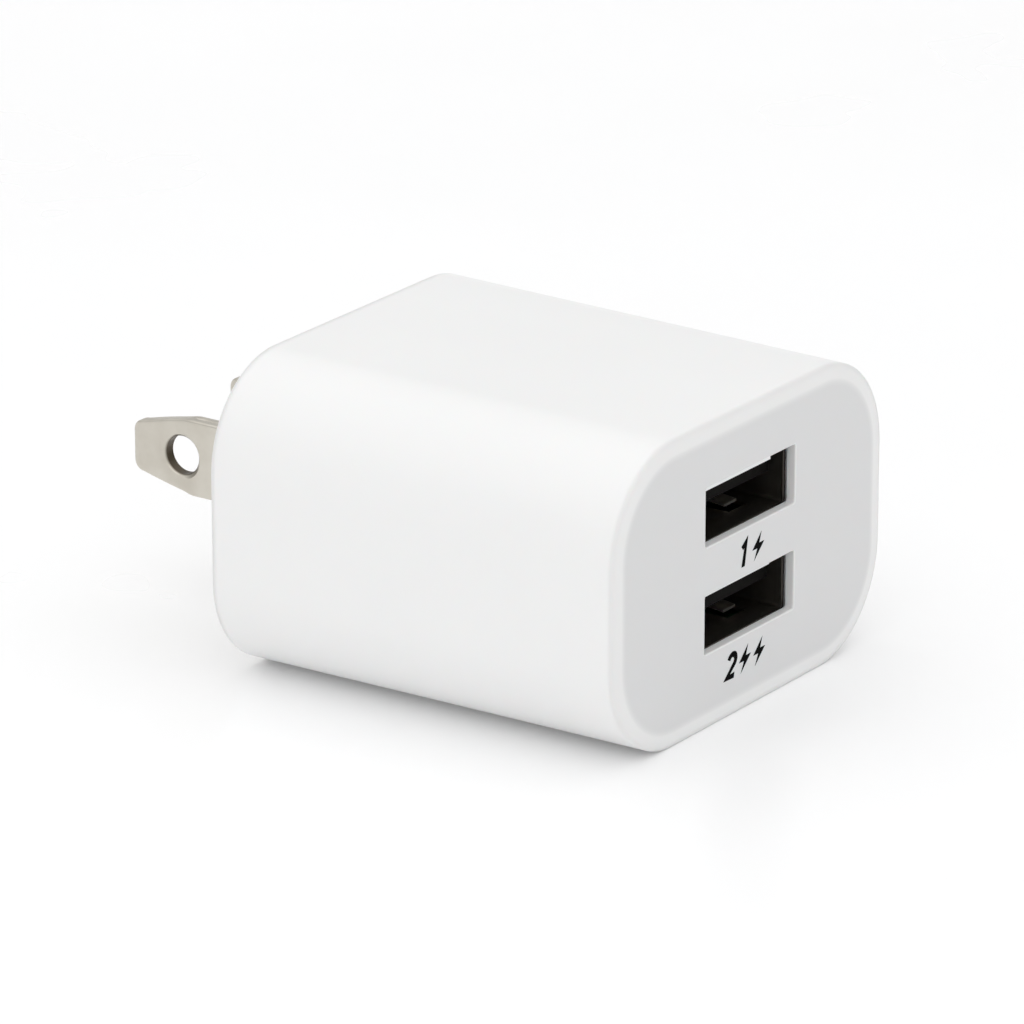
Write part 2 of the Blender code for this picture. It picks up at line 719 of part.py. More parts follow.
def add_bobbin_pins(made, half_length, lead_places):
    """A pin below each leg, through the main board."""
    bm = bmesh.new()
    for side in (-1, 1):
        for sign in (-1, 1):
            x = CORE_CENTRE.x + sign * (half_length - BOBBIN_WALL / 2)
            y = CORE_CENTRE.y + side * (BOBBIN_DEPTH / 2 - BOBBIN_PIN_INSET)
            add_rod(bm, (x, y, LEAD_TAIL_Z), (x, y, MAIN_BOARD_TOP_Z + OVERSHOOT), BOBBIN_PIN_RADIUS, 6)
            lead_places.append((x, y))
    join(made, bm)


def winding():
    """The taped winding: a ring round the bobbin's tube, left open at its middle."""
    centre = CORE_CENTRE
    half_length = bobbin_half_length() - BOBBIN_WALL - GAP
    outer_z = CORE_HEIGHT / 2 - CORE_LEG - 2 * GAP
    bm = bmesh.new()
    rings = []
    for x in (-half_length, half_length):
        ring = rounded_ring(WINDING_DEPTH, 2 * outer_z, WINDING_CORNER, x, 0.0, 5)
        rings.append([centre + Vector((p.y, p.x, p.z)) for p in ring])
    add_loft(bm, rings)
    made = make_object("transformer_winding", bm, "winding_tape")
    smooth(made)

    bm = bmesh.new()
    tube_z = CORE_CENTRE_LEG / 2 + 2 * GAP + BOBBIN_WALL
    tube_y = CORE_DEPTH / 2 + 2 * GAP + BOBBIN_WALL
    add_centred_box(bm, centre, (CORE_LENGTH, 2 * tube_y, 2 * tube_z))
    cut(made, bm)


def electrolytic(name, x, y, diameter, height, pitch, lead_places):
    """A standing electrolytic capacitor: a sleeved can with a crimp above its base."""
    radius = diameter / 2
    crimp = CAN_CRIMP_HEIGHT
    corner = CAN_EDGE * (1 - cos(pi / 4))
    profile = [
        (0.0, radius - CAN_EDGE), (CAN_EDGE, radius), (crimp - CAN_CRIMP_SLOPE, radius),
        (crimp, radius - CAN_CRIMP_DEPTH), (crimp + CAN_CRIMP_SLOPE, radius),
        (height - CAN_EDGE, radius), (height - corner, radius - corner), (height, radius - CAN_EDGE),
    ]
    bm = bmesh.new()
    base_z = MAIN_BOARD_TOP_Z + GAP
    add_turned(bm, (x, y, base_z), (0, 0, 1), profile, 24)
    made = make_object(name, bm, "capacitor_sleeve")
    smooth(made)

    bm = bmesh.new()
    for side in (-1, 1):
        place = (x, y + side * pitch / 2)
        add_rod(bm, (*place, LEAD_TAIL_Z), (*place, base_z + OVERSHOOT), LEAD_RADIUS)
        lead_places.append(place)
    join(made, bm)


def disc_capacitor(lead_places):
    """The blue disc that joins the two sides of the transformer, dipped and lens shaped."""
    y = CORE_CENTRE.y
    half = DISC_THICKNESS / 2
    centre_z = MAIN_BOARD_TOP_Z + DISC_STAND + DISC_RADIUS
    profile = []
    for degrees in range(12, 169, 26):
        angle = radians(degrees)
        profile.append((half - half * cos(angle), DISC_RADIUS - half * (1 - sin(angle))))
    bm = bmesh.new()
    add_turned(bm, (DISC_X - half, y, centre_z), (1, 0, 0), profile, 24)
    made = make_object("y_capacitor", bm, "disc_blue")
    smooth(made)

    bm = bmesh.new()
    for side in (-1, 1):
        place = (DISC_X, y + side * DISC_LEAD_Y)
        add_rod(bm, (*place, LEAD_TAIL_Z), (*place, centre_z - DISC_LEAD_TOP), LEAD_RADIUS)
        lead_places.append(place)
    join(made, bm)


def axial_profile(radius, length, drum):
    """A turned body's profile: two end caps, with a waist between them that is thinner by drum."""
    return [
        (0.0, radius - AXIAL_EDGE), (AXIAL_EDGE, radius), (length * 0.22, radius),
        (length * 0.28, radius - drum), (length * 0.72, radius - drum), (length * 0.78, radius),
        (length - AXIAL_EDGE, radius), (length, radius - AXIAL_EDGE),
    ]


def axial_part(name, material_name, start, end, radius, length, lead_places, drum=0.0):
    """A part on a bent wire: a turned body between two leads that go down through the board."""
    start, end = Vector((*start, 0.0)), Vector((*end, 0.0))
    along = (end - start).normalized()
    top = MAIN_BOARD_TOP_Z + GAP + radius
    base = (start + end) / 2 - along * length / 2 + Vector((0, 0, top))
    bm = bmesh.new()
    add_turned(bm, base, along, axial_profile(radius, length, drum), 16)
    made = make_object(name, bm, material_name)
    smooth(made)

    bm = bmesh.new()
    bend = LEAD_BEND
    add_lead(bm, [
        start + Vector((0, 0, LEAD_TAIL_Z)), start + Vector((0, 0, top - bend)),
        start + along * bend + Vector((0, 0, top)), end - along * bend + Vector((0, 0, top)),
        end + Vector((0, 0, top - bend)), end + Vector((0, 0, LEAD_TAIL_Z)),
    ])
    join(made, bm)
    lead_places.append((start.x, start.y))
    lead_places.append((end.x, end.y))


def chip(name, centre, size, leads, span, pitch):
    """A surface-mounted package with bent leads along the two sides that face +X and -X."""
    x, y = centre
    width, depth, height = size
    low_z = MAIN_BOARD_TOP_Z + GAP
    bm = bmesh.new()
    add_box(bm, (x - width / 2, y - depth / 2, low_z),
            (x + width / 2, y + depth / 2, low_z + height))
    bmesh.ops.bevel(bm, geom=bm.edges[:], offset=CHIP_EDGE, segments=1, affect="EDGES", profile=0.5)
    made = make_object(name, bm, "chip_epoxy")

    bm = bmesh.new()
    knee_z = low_z + height / 2
    for side in (-1, 1):
        root = x + side * (width / 2 - CHIP_LEAD_ROOT)
        knee = x + side * (width / 2 + CHIP_LEAD_KNEE)
        ankle = x + side * (span / 2 - CHIP_LEAD_FOOT)
        toe = x + side * span / 2
        line = [(root, knee_z), (knee, knee_z), (ankle, low_z), (toe, low_z)]
        outline = line + [(px, pz + CHIP_LEAD_SHEET) for px, pz in line[::-1]]
        for i in range(leads):
            lead_y = y + (i - (leads - 1) / 2) * pitch
            add_loft(bm, [
                [Vector((px, lead_y + side_y * CHIP_LEAD_WIDTH / 2, pz)) for px, pz in outline]
                for side_y in (-1, 1)
            ])
    join(made, bm)


def mains_wire(name, side, material_name, board_place):
    """The insulated wire from a blade's solder tail down to the main board."""
    inwards = -1 if side == "right" else 1
    start_x = blade_xs()[side] + inwards * (BLADE_THICKNESS / 2 + GAP + WIRE_RADIUS)
    start = Vector((start_x, TAIL_HOLE_Y, WIRE_TOP_Z))
    points = [
        start,
        start - Vector((0, 0, WIRE_STRAIGHT)),
        Vector((*board_place, MAIN_BOARD_TOP_Z + WIRE_STRAIGHT)),
        Vector((*board_place, MAIN_BOARD_TOP_Z + GAP)),
    ]
    line = bpy.data.curves.new(name, "CURVE")
    line.dimensions = "3D"
    line.bevel_depth = WIRE_RADIUS
    line.bevel_resolution = 2
    line.use_fill_caps = True
    line.resolution_u = 1
    route = smooth_route(points, WIRE_STEPS)
    spline = line.splines.new("POLY")
    spline.points.add(len(route) - 1)
    for knot, place in zip(spline.points, route):
        knot.co = (*place, 1.0)
    made = bpy.data.objects.new(name, line)
    bpy.context.scene.collection.objects.link(made)
    line.materials.append(material(material_name))


def smooth_route(points, count):
    """Places along a cubic curve through four control points."""
    a, b, c, d = points
    places = []
    for i in range(count):
        t = i / (count - 1)
        s = 1 - t
        places.append(s ** 3 * a + 3 * s * s * t * b + 3 * s * t * t * c + t ** 3 * d)
    return places


def insulation_sheet():
    """The paper that keeps the mains side away from the sockets' board."""
    y = USB_BOARD_Y + USB_BOARD_THICKNESS + SHEET_SETBACK
    bm = bmesh.new()
    add_box(bm, (SHEET_X[0], y, MAIN_BOARD_TOP_Z + GAP),
            (SHEET_X[1], y + SHEET_THICKNESS, SHEET_TOP_Z))
    make_object("insulation_sheet", bm, "insulation_paper")


def electronics():
    """Every part that stands on the main board, and the board itself."""
    lead_places = []
    bobbin(lead_places)
    electrolytic("input_capacitor_1", -10.6 * MM, -17.2 * MM, 8.0 * MM, 12.0 * MM, 3.5 * MM, lead_places)
    electrolytic("input_capacitor_2", -10.6 * MM, -8.8 * MM, 8.0 * MM, 12.0 * MM, 3.5 * MM, lead_places)
    electrolytic("output_capacitor_1", 10.7 * MM, -32.0 * MM, 6.3 * MM, 11.0 * MM, 2.5 * MM, lead_places)
    electrolytic("output_capacitor_2", 10.7 * MM, -25.0 * MM, 6.3 * MM, 11.0 * MM, 2.5 * MM, lead_places)
    disc_capacitor(lead_places)
    axial_part("output_diode", "chip_epoxy", (-11.3 * MM, -31.5 * MM), (-11.3 * MM, -22.5 * MM),
               1.35 * MM, 5.2 * MM, lead_places)
    axial_part("filter_inductor", "choke_green", (-8.3 * MM, -34.4 * MM), (-8.3 * MM, -24.0 * MM),
               1.5 * MM, 6.6 * MM, lead_places, 0.3 * MM)
    axial_part("fusible_resistor", "resistor_grey", (-4.4 * MM, -4.6 * MM), (5.0 * MM, -4.6 * MM),
               1.2 * MM, 6.2 * MM, lead_places)
    chip("bridge_rectifier", (10.1 * MM, -5.8 * MM), (4.0 * MM, 4.6 * MM, 2.3 * MM), 2, 6.4 * MM, 2.5 * MM)
    chip("charge_control_chip", (0.0, -31.0 * MM), (3.0 * MM, 3.0 * MM, 1.1 * MM), 3, 4.9 * MM, 0.95 * MM)
    chip("optocoupler", (0.0, -26.4 * MM), (4.4 * MM, 3.8 * MM, 1.15 * MM), 2, 6.6 * MM, 2.54 * MM)
    main_board(lead_places)


def build():
    clear_scene()
    housing()
    rear_cover()
    for side in blade_xs():
        blade(side)
    for level in SOCKET_CENTRES:
        usb_shell(level)
        usb_insulator(level)
        for number, x in enumerate(CONTACT_XS, 1):
            usb_contact(level, number, x)
    usb_board()
    for side, sign in (("left", -1), ("right", 1)):
        e_core(side, sign)
    winding()
    insulation_sheet()
    electronics()
    mains_wire("mains_wire_neutral", "left", "wire_black", (-4.9 * MM, -6.9 * MM))
    mains_wire("mains_wire_live", "right", "wire_red", (5.6 * MM, -6.9 * MM))


build()
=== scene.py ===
"""Looks of the USB wall charger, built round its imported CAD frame.

Metres, +Z up, in the frame's own axes: the origin is on the wall face midway between the blades,
+Y runs along the blades and -Y out of the socket face. The moulded housing, its cover, the blades
and the receptacles' shells are remade here with their fine edges, and the port marks are added.
Everything else is the CAD's own solid with a finished material.
"""

from math import cos, pi, radians, sin

import bmesh
import bpy
from mathutils import Matrix, Vector


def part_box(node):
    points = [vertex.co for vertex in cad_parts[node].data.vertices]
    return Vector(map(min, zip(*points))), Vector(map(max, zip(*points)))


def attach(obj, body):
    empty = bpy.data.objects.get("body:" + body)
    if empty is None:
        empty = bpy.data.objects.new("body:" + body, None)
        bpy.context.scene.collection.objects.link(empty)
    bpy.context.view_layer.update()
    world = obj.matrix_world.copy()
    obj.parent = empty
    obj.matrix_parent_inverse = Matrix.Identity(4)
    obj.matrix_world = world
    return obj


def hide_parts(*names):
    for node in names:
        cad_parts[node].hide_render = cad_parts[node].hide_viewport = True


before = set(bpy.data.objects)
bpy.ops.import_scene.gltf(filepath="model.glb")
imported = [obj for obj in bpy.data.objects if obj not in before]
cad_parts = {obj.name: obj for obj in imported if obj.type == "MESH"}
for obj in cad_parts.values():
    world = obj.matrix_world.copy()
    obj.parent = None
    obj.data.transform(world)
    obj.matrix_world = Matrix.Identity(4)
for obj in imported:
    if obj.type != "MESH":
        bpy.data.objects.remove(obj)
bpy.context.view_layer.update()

MM = 0.001

# The camera: where it looks from, as seen from the point that it looks at.
VIEW_AZIMUTH = -55.14
VIEW_ELEVATION = 19.8
VIEW_DISTANCE = 560.0 * MM
VIEW_TARGET = Vector((-9.51, -21.87, 2.945)) * MM
LENS = 257.26
SENSOR = 36.0

# The housing. Its rear size, length and height come from the frame.
HOUSING_LOW, HOUSING_HIGH = (Vector(corner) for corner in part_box("housing"))
FRONT_Y = HOUSING_LOW.y
REAR_Y = HOUSING_HIGH.y
BODY_LENGTH = REAR_Y - FRONT_Y
BODY_Z = (HOUSING_LOW.z + HOUSING_HIGH.z) / 2
REAR_WIDTH = HOUSING_HIGH.x - HOUSING_LOW.x
REAR_HEIGHT = HOUSING_HIGH.z - HOUSING_LOW.z
DRAFT_WIDTH = 0.1 * MM
DRAFT_HEIGHT = 0.75 * MM
CORNER_RADIUS = 8.4 * MM
RIM_WIDTH = 1.9 * MM
RIM_DEPTH = 0.25 * MM
REAR_FILLET = 0.15 * MM
WALL = 1.8 * MM
FRONT_WALL = 2.0 * MM
WINDOW_WALL = 0.8 * MM
CORNER_STEPS = 28
CAVITY_MOUTH = 0.15 * MM

# The socket windows.
LEVELS = ("upper", "lower")
WINDOW_WIDTH = 12.5 * MM
WINDOW_HEIGHT = 4.8 * MM
WINDOW_CORNER = 0.22 * MM
WINDOW_FILLET = 0.14 * MM
LIP_SHARE = 0.73
LIP_DROP = {"upper": 0.27 * MM, "lower": 0.12 * MM}
LIP_SETBACK = 0.16 * MM
LIP_CORNER_SHARE = 0.3

# The cover and its slots for the blades.
COVER_EDGE = 0.22 * MM
COVER_INSET_GAPS = 0.6
BOSS_DEPTH = 1.4 * MM
BLADE_SLOT_CLEARANCE = 0.16 * MM
BLADE_SLOT_CORNER = 0.25 * MM
BLADE_SLOT_FILLET = 0.2 * MM

# The blades.
BLADE_THICKNESS = 1.52 * MM
BLADE_WIDTH = 6.35 * MM
BLADE_TIP_WIDTH = 4.3 * MM
BLADE_TAPER_LENGTH = 6.0 * MM
TIP_THICKNESS = 1.1 * MM
TIP_EDGE_THICKNESS = 0.5 * MM
COIN_SLOPE = 1.2 * MM
TIP_ROUND = 1.0 * MM
TIP_CORNER = 0.95 * MM
TAPER_BULGE = 1.25
BLADE_EDGE = 0.2 * MM
SEAM_DEPTH = 0.2 * MM
SEAM_WIDTH = 0.11 * MM
HOLE_Y = 11.9 * MM
HOLE_RADIUS = 1.6 * MM
HOLE_CHAMFER = 0.36 * MM
BORE_EDGE = 0.12 * MM
TAIL_HALF_WIDTH = 1.8 * MM
SHOULDER_START_Y = -2.0 * MM
SHOULDER_END_Y = -1.0 * MM
SEAM_FADE_START = 1.2 * MM
SEAM_FADE_END = 0.4 * MM
SEAM_FADE_SHARE = 0.6

# Room round a piece, and how far a cutter runs past what it cuts.
GAP = 0.3 * MM
OVERSHOOT = 0.3 * MM
OVERLAP = 0.05 * MM


def socket_centre_z(level):
    """Height of a receptacle's middle, from its shell in the frame."""
    low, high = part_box(f"usb_shell_{level}")
    return (low[2] + high[2]) / 2


def new_object(name, bm):
    """Turn a bmesh into a linked object with outward normals."""
    bmesh.ops.recalc_face_normals(bm, faces=bm.faces)
    mesh = bpy.data.meshes.new(name)
    bm.to_mesh(mesh)
    bm.free()
    made = bpy.data.objects.new(name, mesh)
    bpy.context.scene.collection.objects.link(made)
    return made


def bake_modifiers(target):
    """Replace an object's mesh by the shape that its modifiers give."""
    graph = bpy.context.evaluated_depsgraph_get()
    shape = bpy.data.meshes.new_from_object(target.evaluated_get(graph))
    target.modifiers.clear()
    target.data = shape


def combine(target, operation, bm):
    """Cut a shape from an object, or join it on."""
    guide = new_object(f"{target.name}_guide", bm)
    step = target.modifiers.new(operation.lower(), "BOOLEAN")
    step.operation = operation
    step.solver = "EXACT"
    step.object = guide
    bake_modifiers(target)
    bpy.data.objects.remove(guide, do_unlink=True)


def cut(target, bm):
    combine(target, "DIFFERENCE", bm)


def join(target, bm):
    combine(target, "UNION", bm)


def shade(target, angle):
    """Shade smooth, crisp at corners, with flat faces kept flat."""
    target.data.shade_smooth()
    target.data.set_sharp_from_angle(angle=radians(angle))
    weighted = target.modifiers.new("weighted normals", "WEIGHTED_NORMAL")
    weighted.keep_sharp = True


def add_loft(bm, rings):
    """Skin a closed body through rings of the same number of points, and close both ends."""
    loops = [[bm.verts.new(point) for point in ring] for ring in rings]
    count = len(loops[0])
    for near, far in zip(loops, loops[1:]):
        for i in range(count):
            j = (i + 1) % count
            bm.faces.new((near[i], near[j], far[j], far[i]))
    bm.faces.new(loops[0])
    bm.faces.new(loops[-1])


def add_box(bm, low, high):
    """Add a box between two corners."""
    low, high = Vector(low), Vector(high)
    for vert in bmesh.ops.create_cube(bm, size=1.0)["verts"]:
        vert.co = [low[i] + (vert.co[i] + 0.5) * (high[i] - low[i]) for i in range(3)]


def rounded_outline(width, height, radius, steps):
    """(x, z) points round a rounded rectangle about the origin."""
    points = []
    for corner in range(4):
        side_x = 1 if corner in (0, 3) else -1
        side_z = 1 if corner in (0, 1) else -1
        for step in range(steps + 1):
            angle = (corner + step / steps) * pi / 2
            points.append((
                side_x * (width / 2 - radius) + radius * cos(angle),
                side_z * (height / 2 - radius) + radius * sin(angle),
            ))
    return points


def ring_across_y(outline, y, centre_x=0.0, centre_z=0.0):
    """Stand an (x, z) outline across the Y axis."""
    return [Vector((centre_x + x, y, centre_z + z)) for x, z in outline]


def body_ring(y, inset):
    """The housing's outline at y, moved inwards."""
    forward = (REAR_Y - y) / BODY_LENGTH
    width = REAR_WIDTH - forward * DRAFT_WIDTH - 2 * inset
    height = REAR_HEIGHT - forward * DRAFT_HEIGHT - 2 * inset
    outline = rounded_outline(width, height, CORNER_RADIUS - inset, CORNER_STEPS)
    return ring_across_y(outline, y, 0.0, BODY_Z)


def housing_rings():
    """From the flat socket face, round its softly curved border, back to the soft rear edge."""
    rim_steps = 16
    rear_steps = 6
    rings = []
    for i in range(rim_steps + 1):
        angle = pi / 2 * i / rim_steps
        inset = RIM_WIDTH * (1 - sin(angle))
        rings.append(body_ring(FRONT_Y + RIM_DEPTH * (1 - cos(angle)), inset))
    for i in range(rear_steps + 1):
        angle = pi / 2 * (1 - i / rear_steps)
        inset = REAR_FILLET * (1 - sin(angle))
        rings.append(body_ring(REAR_Y - REAR_FILLET * (1 - cos(angle)), inset))
    return rings


def window_outline(level, grow, lip):
    """A window's outline: an oblong with small corners, the left stretch lowered by the lip."""
    half_width = WINDOW_WIDTH / 2 + grow
    half_height = WINDOW_HEIGHT / 2 + grow
    corner = WINDOW_CORNER + grow
    if not lip:
        return rounded_outline(2 * half_width, 2 * half_height, corner, 6)
    step_x = -WINDOW_WIDTH / 2 + LIP_SHARE * WINDOW_WIDTH - grow
    drop = LIP_DROP[level]
    turns = (
        (half_width, half_height, 0, corner),
        (step_x, half_height, 1, drop * LIP_CORNER_SHARE),
        (-half_width, half_height - drop, 1, corner),
        (-half_width, -half_height, 2, corner),
        (half_width, -half_height, 3, corner),
    )
    steps = 4
    points = []
    for x, z, quarter, radius in turns:
        centre_x = x - radius * (1 if quarter in (0, 3) else -1)
        centre_z = z - radius * (1 if quarter in (0, 1) else -1)
        for i in range(steps + 1):
            angle = (quarter + i / steps) * pi / 2
            points.append((centre_x + radius * cos(angle), centre_z + radius * sin(angle)))
        if (x, quarter) == (step_x, 1):
            points.append((step_x, half_height - drop))
    return points


def add_flared_cutter(bm, level, lip, front, back):
    """A window cutter whose mouth flares, so that it leaves a small fillet round the opening."""
    centre_z = socket_centre_z(level)
    mouth = window_outline(level, WINDOW_FILLET, lip)
    rings = [ring_across_y(mouth, front - OVERSHOOT, 0.0, centre_z)]
    for degrees in (12, 35, 60, 90):
        grow = WINDOW_FILLET * (1 - sin(radians(degrees)))
        y = front + WINDOW_FILLET * (1 - cos(radians(degrees)))
        rings.append(ring_across_y(window_outline(level, grow, lip), y, 0.0, centre_z))
    rings.append(ring_across_y(window_outline(level, 0.0, lip), back, 0.0, centre_z))
    add_loft(bm, rings)


def housing_skin():
    """The white moulding: a shell with a soft front border and two filleted socket windows."""
    bm = bmesh.new()
    add_loft(bm, housing_rings())
    skin = new_object("housing_skin", bm)

    bm = bmesh.new()
    half_eased = 0.3 * CAVITY_MOUTH
    past_the_end = Vector((0, 0.4 * MM, 0))
    add_loft(bm, [
        body_ring(FRONT_Y + FRONT_WALL, WALL),
        body_ring(REAR_Y - CAVITY_MOUTH, WALL),
        body_ring(REAR_Y - half_eased, WALL - half_eased),
        [point + past_the_end for point in body_ring(REAR_Y, WALL - CAVITY_MOUTH)],
    ])
    cut(skin, bm)

    for level in LEVELS:
        bm = bmesh.new()
        add_flared_cutter(bm, level, False, FRONT_Y, FRONT_Y + LIP_SETBACK)
        cut(skin, bm)
        bm = bmesh.new()
        centre_z = socket_centre_z(level)
        add_loft(bm, [
            ring_across_y(window_outline(level, 0.0, True), y, 0.0, centre_z)
            for y in (FRONT_Y + LIP_SETBACK - OVERLAP, FRONT_Y + FRONT_WALL + MM)
        ])
        cut(skin, bm)
        bm = bmesh.new()
        low, high = (Vector(corner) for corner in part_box(f"usb_shell_{level}"))
        add_box(bm, (low.x - GAP, FRONT_Y + WINDOW_WALL, low.z - GAP),
                (high.x + GAP, FRONT_Y + FRONT_WALL + MM, high.z + GAP))
        cut(skin, bm)

    shade(skin, 28.0)
    skin.data.materials.append(housing_plastic())
    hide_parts("housing")
    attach(skin, "root")


def cover_skin():
    """The plate that closes the wall end, with an eased edge and a filleted slot for each blade."""
    low, high = (Vector(corner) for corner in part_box("rear_cover"))
    inset = WALL + GAP * COVER_INSET_GAPS
    edge_steps = 5
    rings = [body_ring(low.y + BOSS_DEPTH, inset)]
    for i in range(edge_steps + 1):
        angle = pi / 2 * i / edge_steps
        eased = inset + COVER_EDGE * (1 - cos(angle))
        rings.append(body_ring(high.y - COVER_EDGE * (1 - sin(angle)), eased))
    bm = bmesh.new()
    add_loft(bm, rings)
    plate = new_object("rear_cover_skin", bm)

    slot_width = BLADE_THICKNESS + BLADE_SLOT_CLEARANCE
    slot_height = BLADE_WIDTH + BLADE_SLOT_CLEARANCE
    fillet_steps = 4
    below_surface = 0.003 * MM
    for side in ("left", "right"):
        blade_low, blade_high = (Vector(corner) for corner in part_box(f"blade_{side}"))
        centre_x = (blade_low.x + blade_high.x) / 2
        outline = rounded_outline(slot_width, slot_height, BLADE_SLOT_CORNER, 5)
        rings = [ring_across_y(outline, low.y - MM, centre_x)]
        for i in range(fillet_steps + 1):
            angle = pi / 2 * i / fillet_steps
            grow = BLADE_SLOT_FILLET * (1 - cos(angle))
            outline = rounded_outline(slot_width + 2 * grow, slot_height + 2 * grow,
                                      BLADE_SLOT_CORNER + grow, 5)
            y = high.y - BLADE_SLOT_FILLET * (1 - sin(angle)) - below_surface
            rings.append(ring_across_y(outline, y, centre_x))
        rings.append(ring_across_y(outline, high.y + MM, centre_x))
        bm = bmesh.new()
        add_loft(bm, rings)
        cut(plate, bm)

    shade(plate, 28.0)
    plate.data.materials.append(cover_plastic())
    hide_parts("rear_cover")
    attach(plate, "root")


def blade_section(half_thickness, half_width, edge, seam):
    """Cross-section of a folded blade: two rounded layers with a fine seam between their edges."""
    points = []
    arc_steps = 5
    groove = ((1.0, 0.0), (0.45, 0.35), (0.0, 1.0), (-0.45, 0.35), (-1.0, 0.0))
    for quarter, side_x, side_z in ((0, 1, 1), (1, -1, 1), (2, -1, -1), (3, 1, -1)):
        for i in range(arc_steps + 1):
            angle = (quarter + i / arc_steps) * pi / 2
            points.append((
                side_x * (half_thickness - edge) + edge * cos(angle),
                side_z * (half_width - edge) + edge * sin(angle),
            ))
        if quarter in (0, 2):
            points += [
                (side_x * SEAM_WIDTH * share, side_z * (half_width - seam * drop))
                for share, drop in groove
            ]
    return points


def blade_stations(low_y, high_y):
    """(y, half width, half thickness, seam depth) along a blade, tail to tip."""
    half = BLADE_WIDTH / 2
    tip = BLADE_TIP_WIDTH / 2
    thick = BLADE_THICKNESS / 2
    taper_y = high_y - BLADE_TAPER_LENGTH
    stations = [
        (low_y, TAIL_HALF_WIDTH, thick, SEAM_DEPTH),
        (SHOULDER_START_Y, TAIL_HALF_WIDTH, thick, SEAM_DEPTH),
        (SHOULDER_END_Y, half, thick, SEAM_DEPTH),
        (taper_y - SEAM_FADE_START, half, thick, SEAM_DEPTH),
        (taper_y - SEAM_FADE_END, half, thick, SEAM_FADE_SHARE * SEAM_DEPTH),
    ]
    straight_end = high_y - TIP_ROUND
    steps = 12
    for i in range(steps + 1):
        y = taper_y + (straight_end - taper_y) * i / steps
        share = ((y - taper_y) / (straight_end - taper_y)) ** TAPER_BULGE
        coined = min(1.0, (y - taper_y) / COIN_SLOPE)
        thinning = (thick - TIP_THICKNESS / 2) * (1 - cos(pi * coined)) / 2
        stations.append((y, half + share * (tip - half), thick - thinning, 0.0))
    round_steps = 8
    for i in range(1, round_steps + 1):
        angle = pi / 2 * i / round_steps
        y = straight_end + TIP_ROUND * sin(angle)
        width = tip - TIP_CORNER * (1 - cos(angle))
        thinning = (TIP_THICKNESS - TIP_EDGE_THICKNESS) / 2 * (1 - cos(angle))
        stations.append((y, width, TIP_THICKNESS / 2 - thinning, 0.0))
    return stations


def blade_metal(side):
    """A contact blade: folded, coined to a taper at its tip, its hole countersunk on both faces."""
    low, high = (Vector(corner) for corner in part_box(f"blade_{side}"))
    centre_x = (low.x + high.x) / 2
    bm = bmesh.new()
    add_loft(bm, [
        ring_across_y(blade_section(thick, width, min(BLADE_EDGE, 0.9 * thick), seam), y, centre_x)
        for y, width, thick, seam in blade_stations(low.y, high.y)
    ])
    metal = new_object(f"blade_{side}_metal", bm)

    half = BLADE_THICKNESS / 2
    mouth_radius = HOLE_RADIUS + HOLE_CHAMFER + OVERSHOOT
    profile = [
        (-half - OVERSHOOT, mouth_radius),
        (-half + HOLE_CHAMFER, HOLE_RADIUS),
        (half - HOLE_CHAMFER, HOLE_RADIUS),
        (half + OVERSHOOT, mouth_radius),
    ]
    sides = 64
    bm = bmesh.new()
    add_loft(bm, [
        [
            Vector((centre_x + across, HOLE_Y + radius * cos(angle), radius * sin(angle)))
            for angle in (2 * pi * i / sides for i in range(sides))
        ]
        for across, radius in profile
    ])
    cut(metal, bm)
    shade(metal, 32.0)
    metal.data.materials.append(nickel_plate())
    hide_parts(f"blade_{side}")
    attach(metal, "root")


# Receptacle shells.
SHEET = 0.3 * MM
SHELL_CORNER = 0.6 * MM
SHELL_EASE = 0.1 * MM
FINGER_XS = (-3.2 * MM, 3.2 * MM)
FINGER_WIDTH = 1.7 * MM
SLOT_WIDTH = 2.5 * MM
SLOT_START = 2.2 * MM
SLOT_LENGTH = 6.0 * MM
FINGER_DIP = 0.55 * MM
FINGER_BOW = 1.35
FINGER_SHEET = 0.22 * MM
FINGER_SINK = 0.04 * MM
FINGER_ROOT = 0.25 * MM
FINGER_SHORT = 0.7 * MM


def finger_outline(half_height, side, centre_z, slot_front, slot_rear):
    """Side view of a sprung finger: rooted behind its slot, bowed into the socket, tip turned up."""
    steps = 18
    outer = []
    inner = []
    start = slot_rear + FINGER_ROOT
    end = slot_front + FINGER_SHORT
    for i in range(steps + 1):
        share = i / steps
        dip = FINGER_DIP * (1 - cos(pi * (FINGER_BOW * share))) / 2
        z = half_height - FINGER_SINK - dip
        y = start + share * (end - start)
        outer.append((y, centre_z + side * z))
        inner.append((y, centre_z + side * (z - FINGER_SHEET)))
    return outer + inner[::-1]


def add_shell_loft(bm, width, height, centre_z, stations):
    """A rounded tube through (y, trim) stations, trimmed inwards all round at each."""
    add_loft(bm, [
        ring_across_y(rounded_outline(width - 2 * trim, height - 2 * trim, SHELL_CORNER - trim, 8),
                      y, 0.0, centre_z)
        for y, trim in stations
    ])


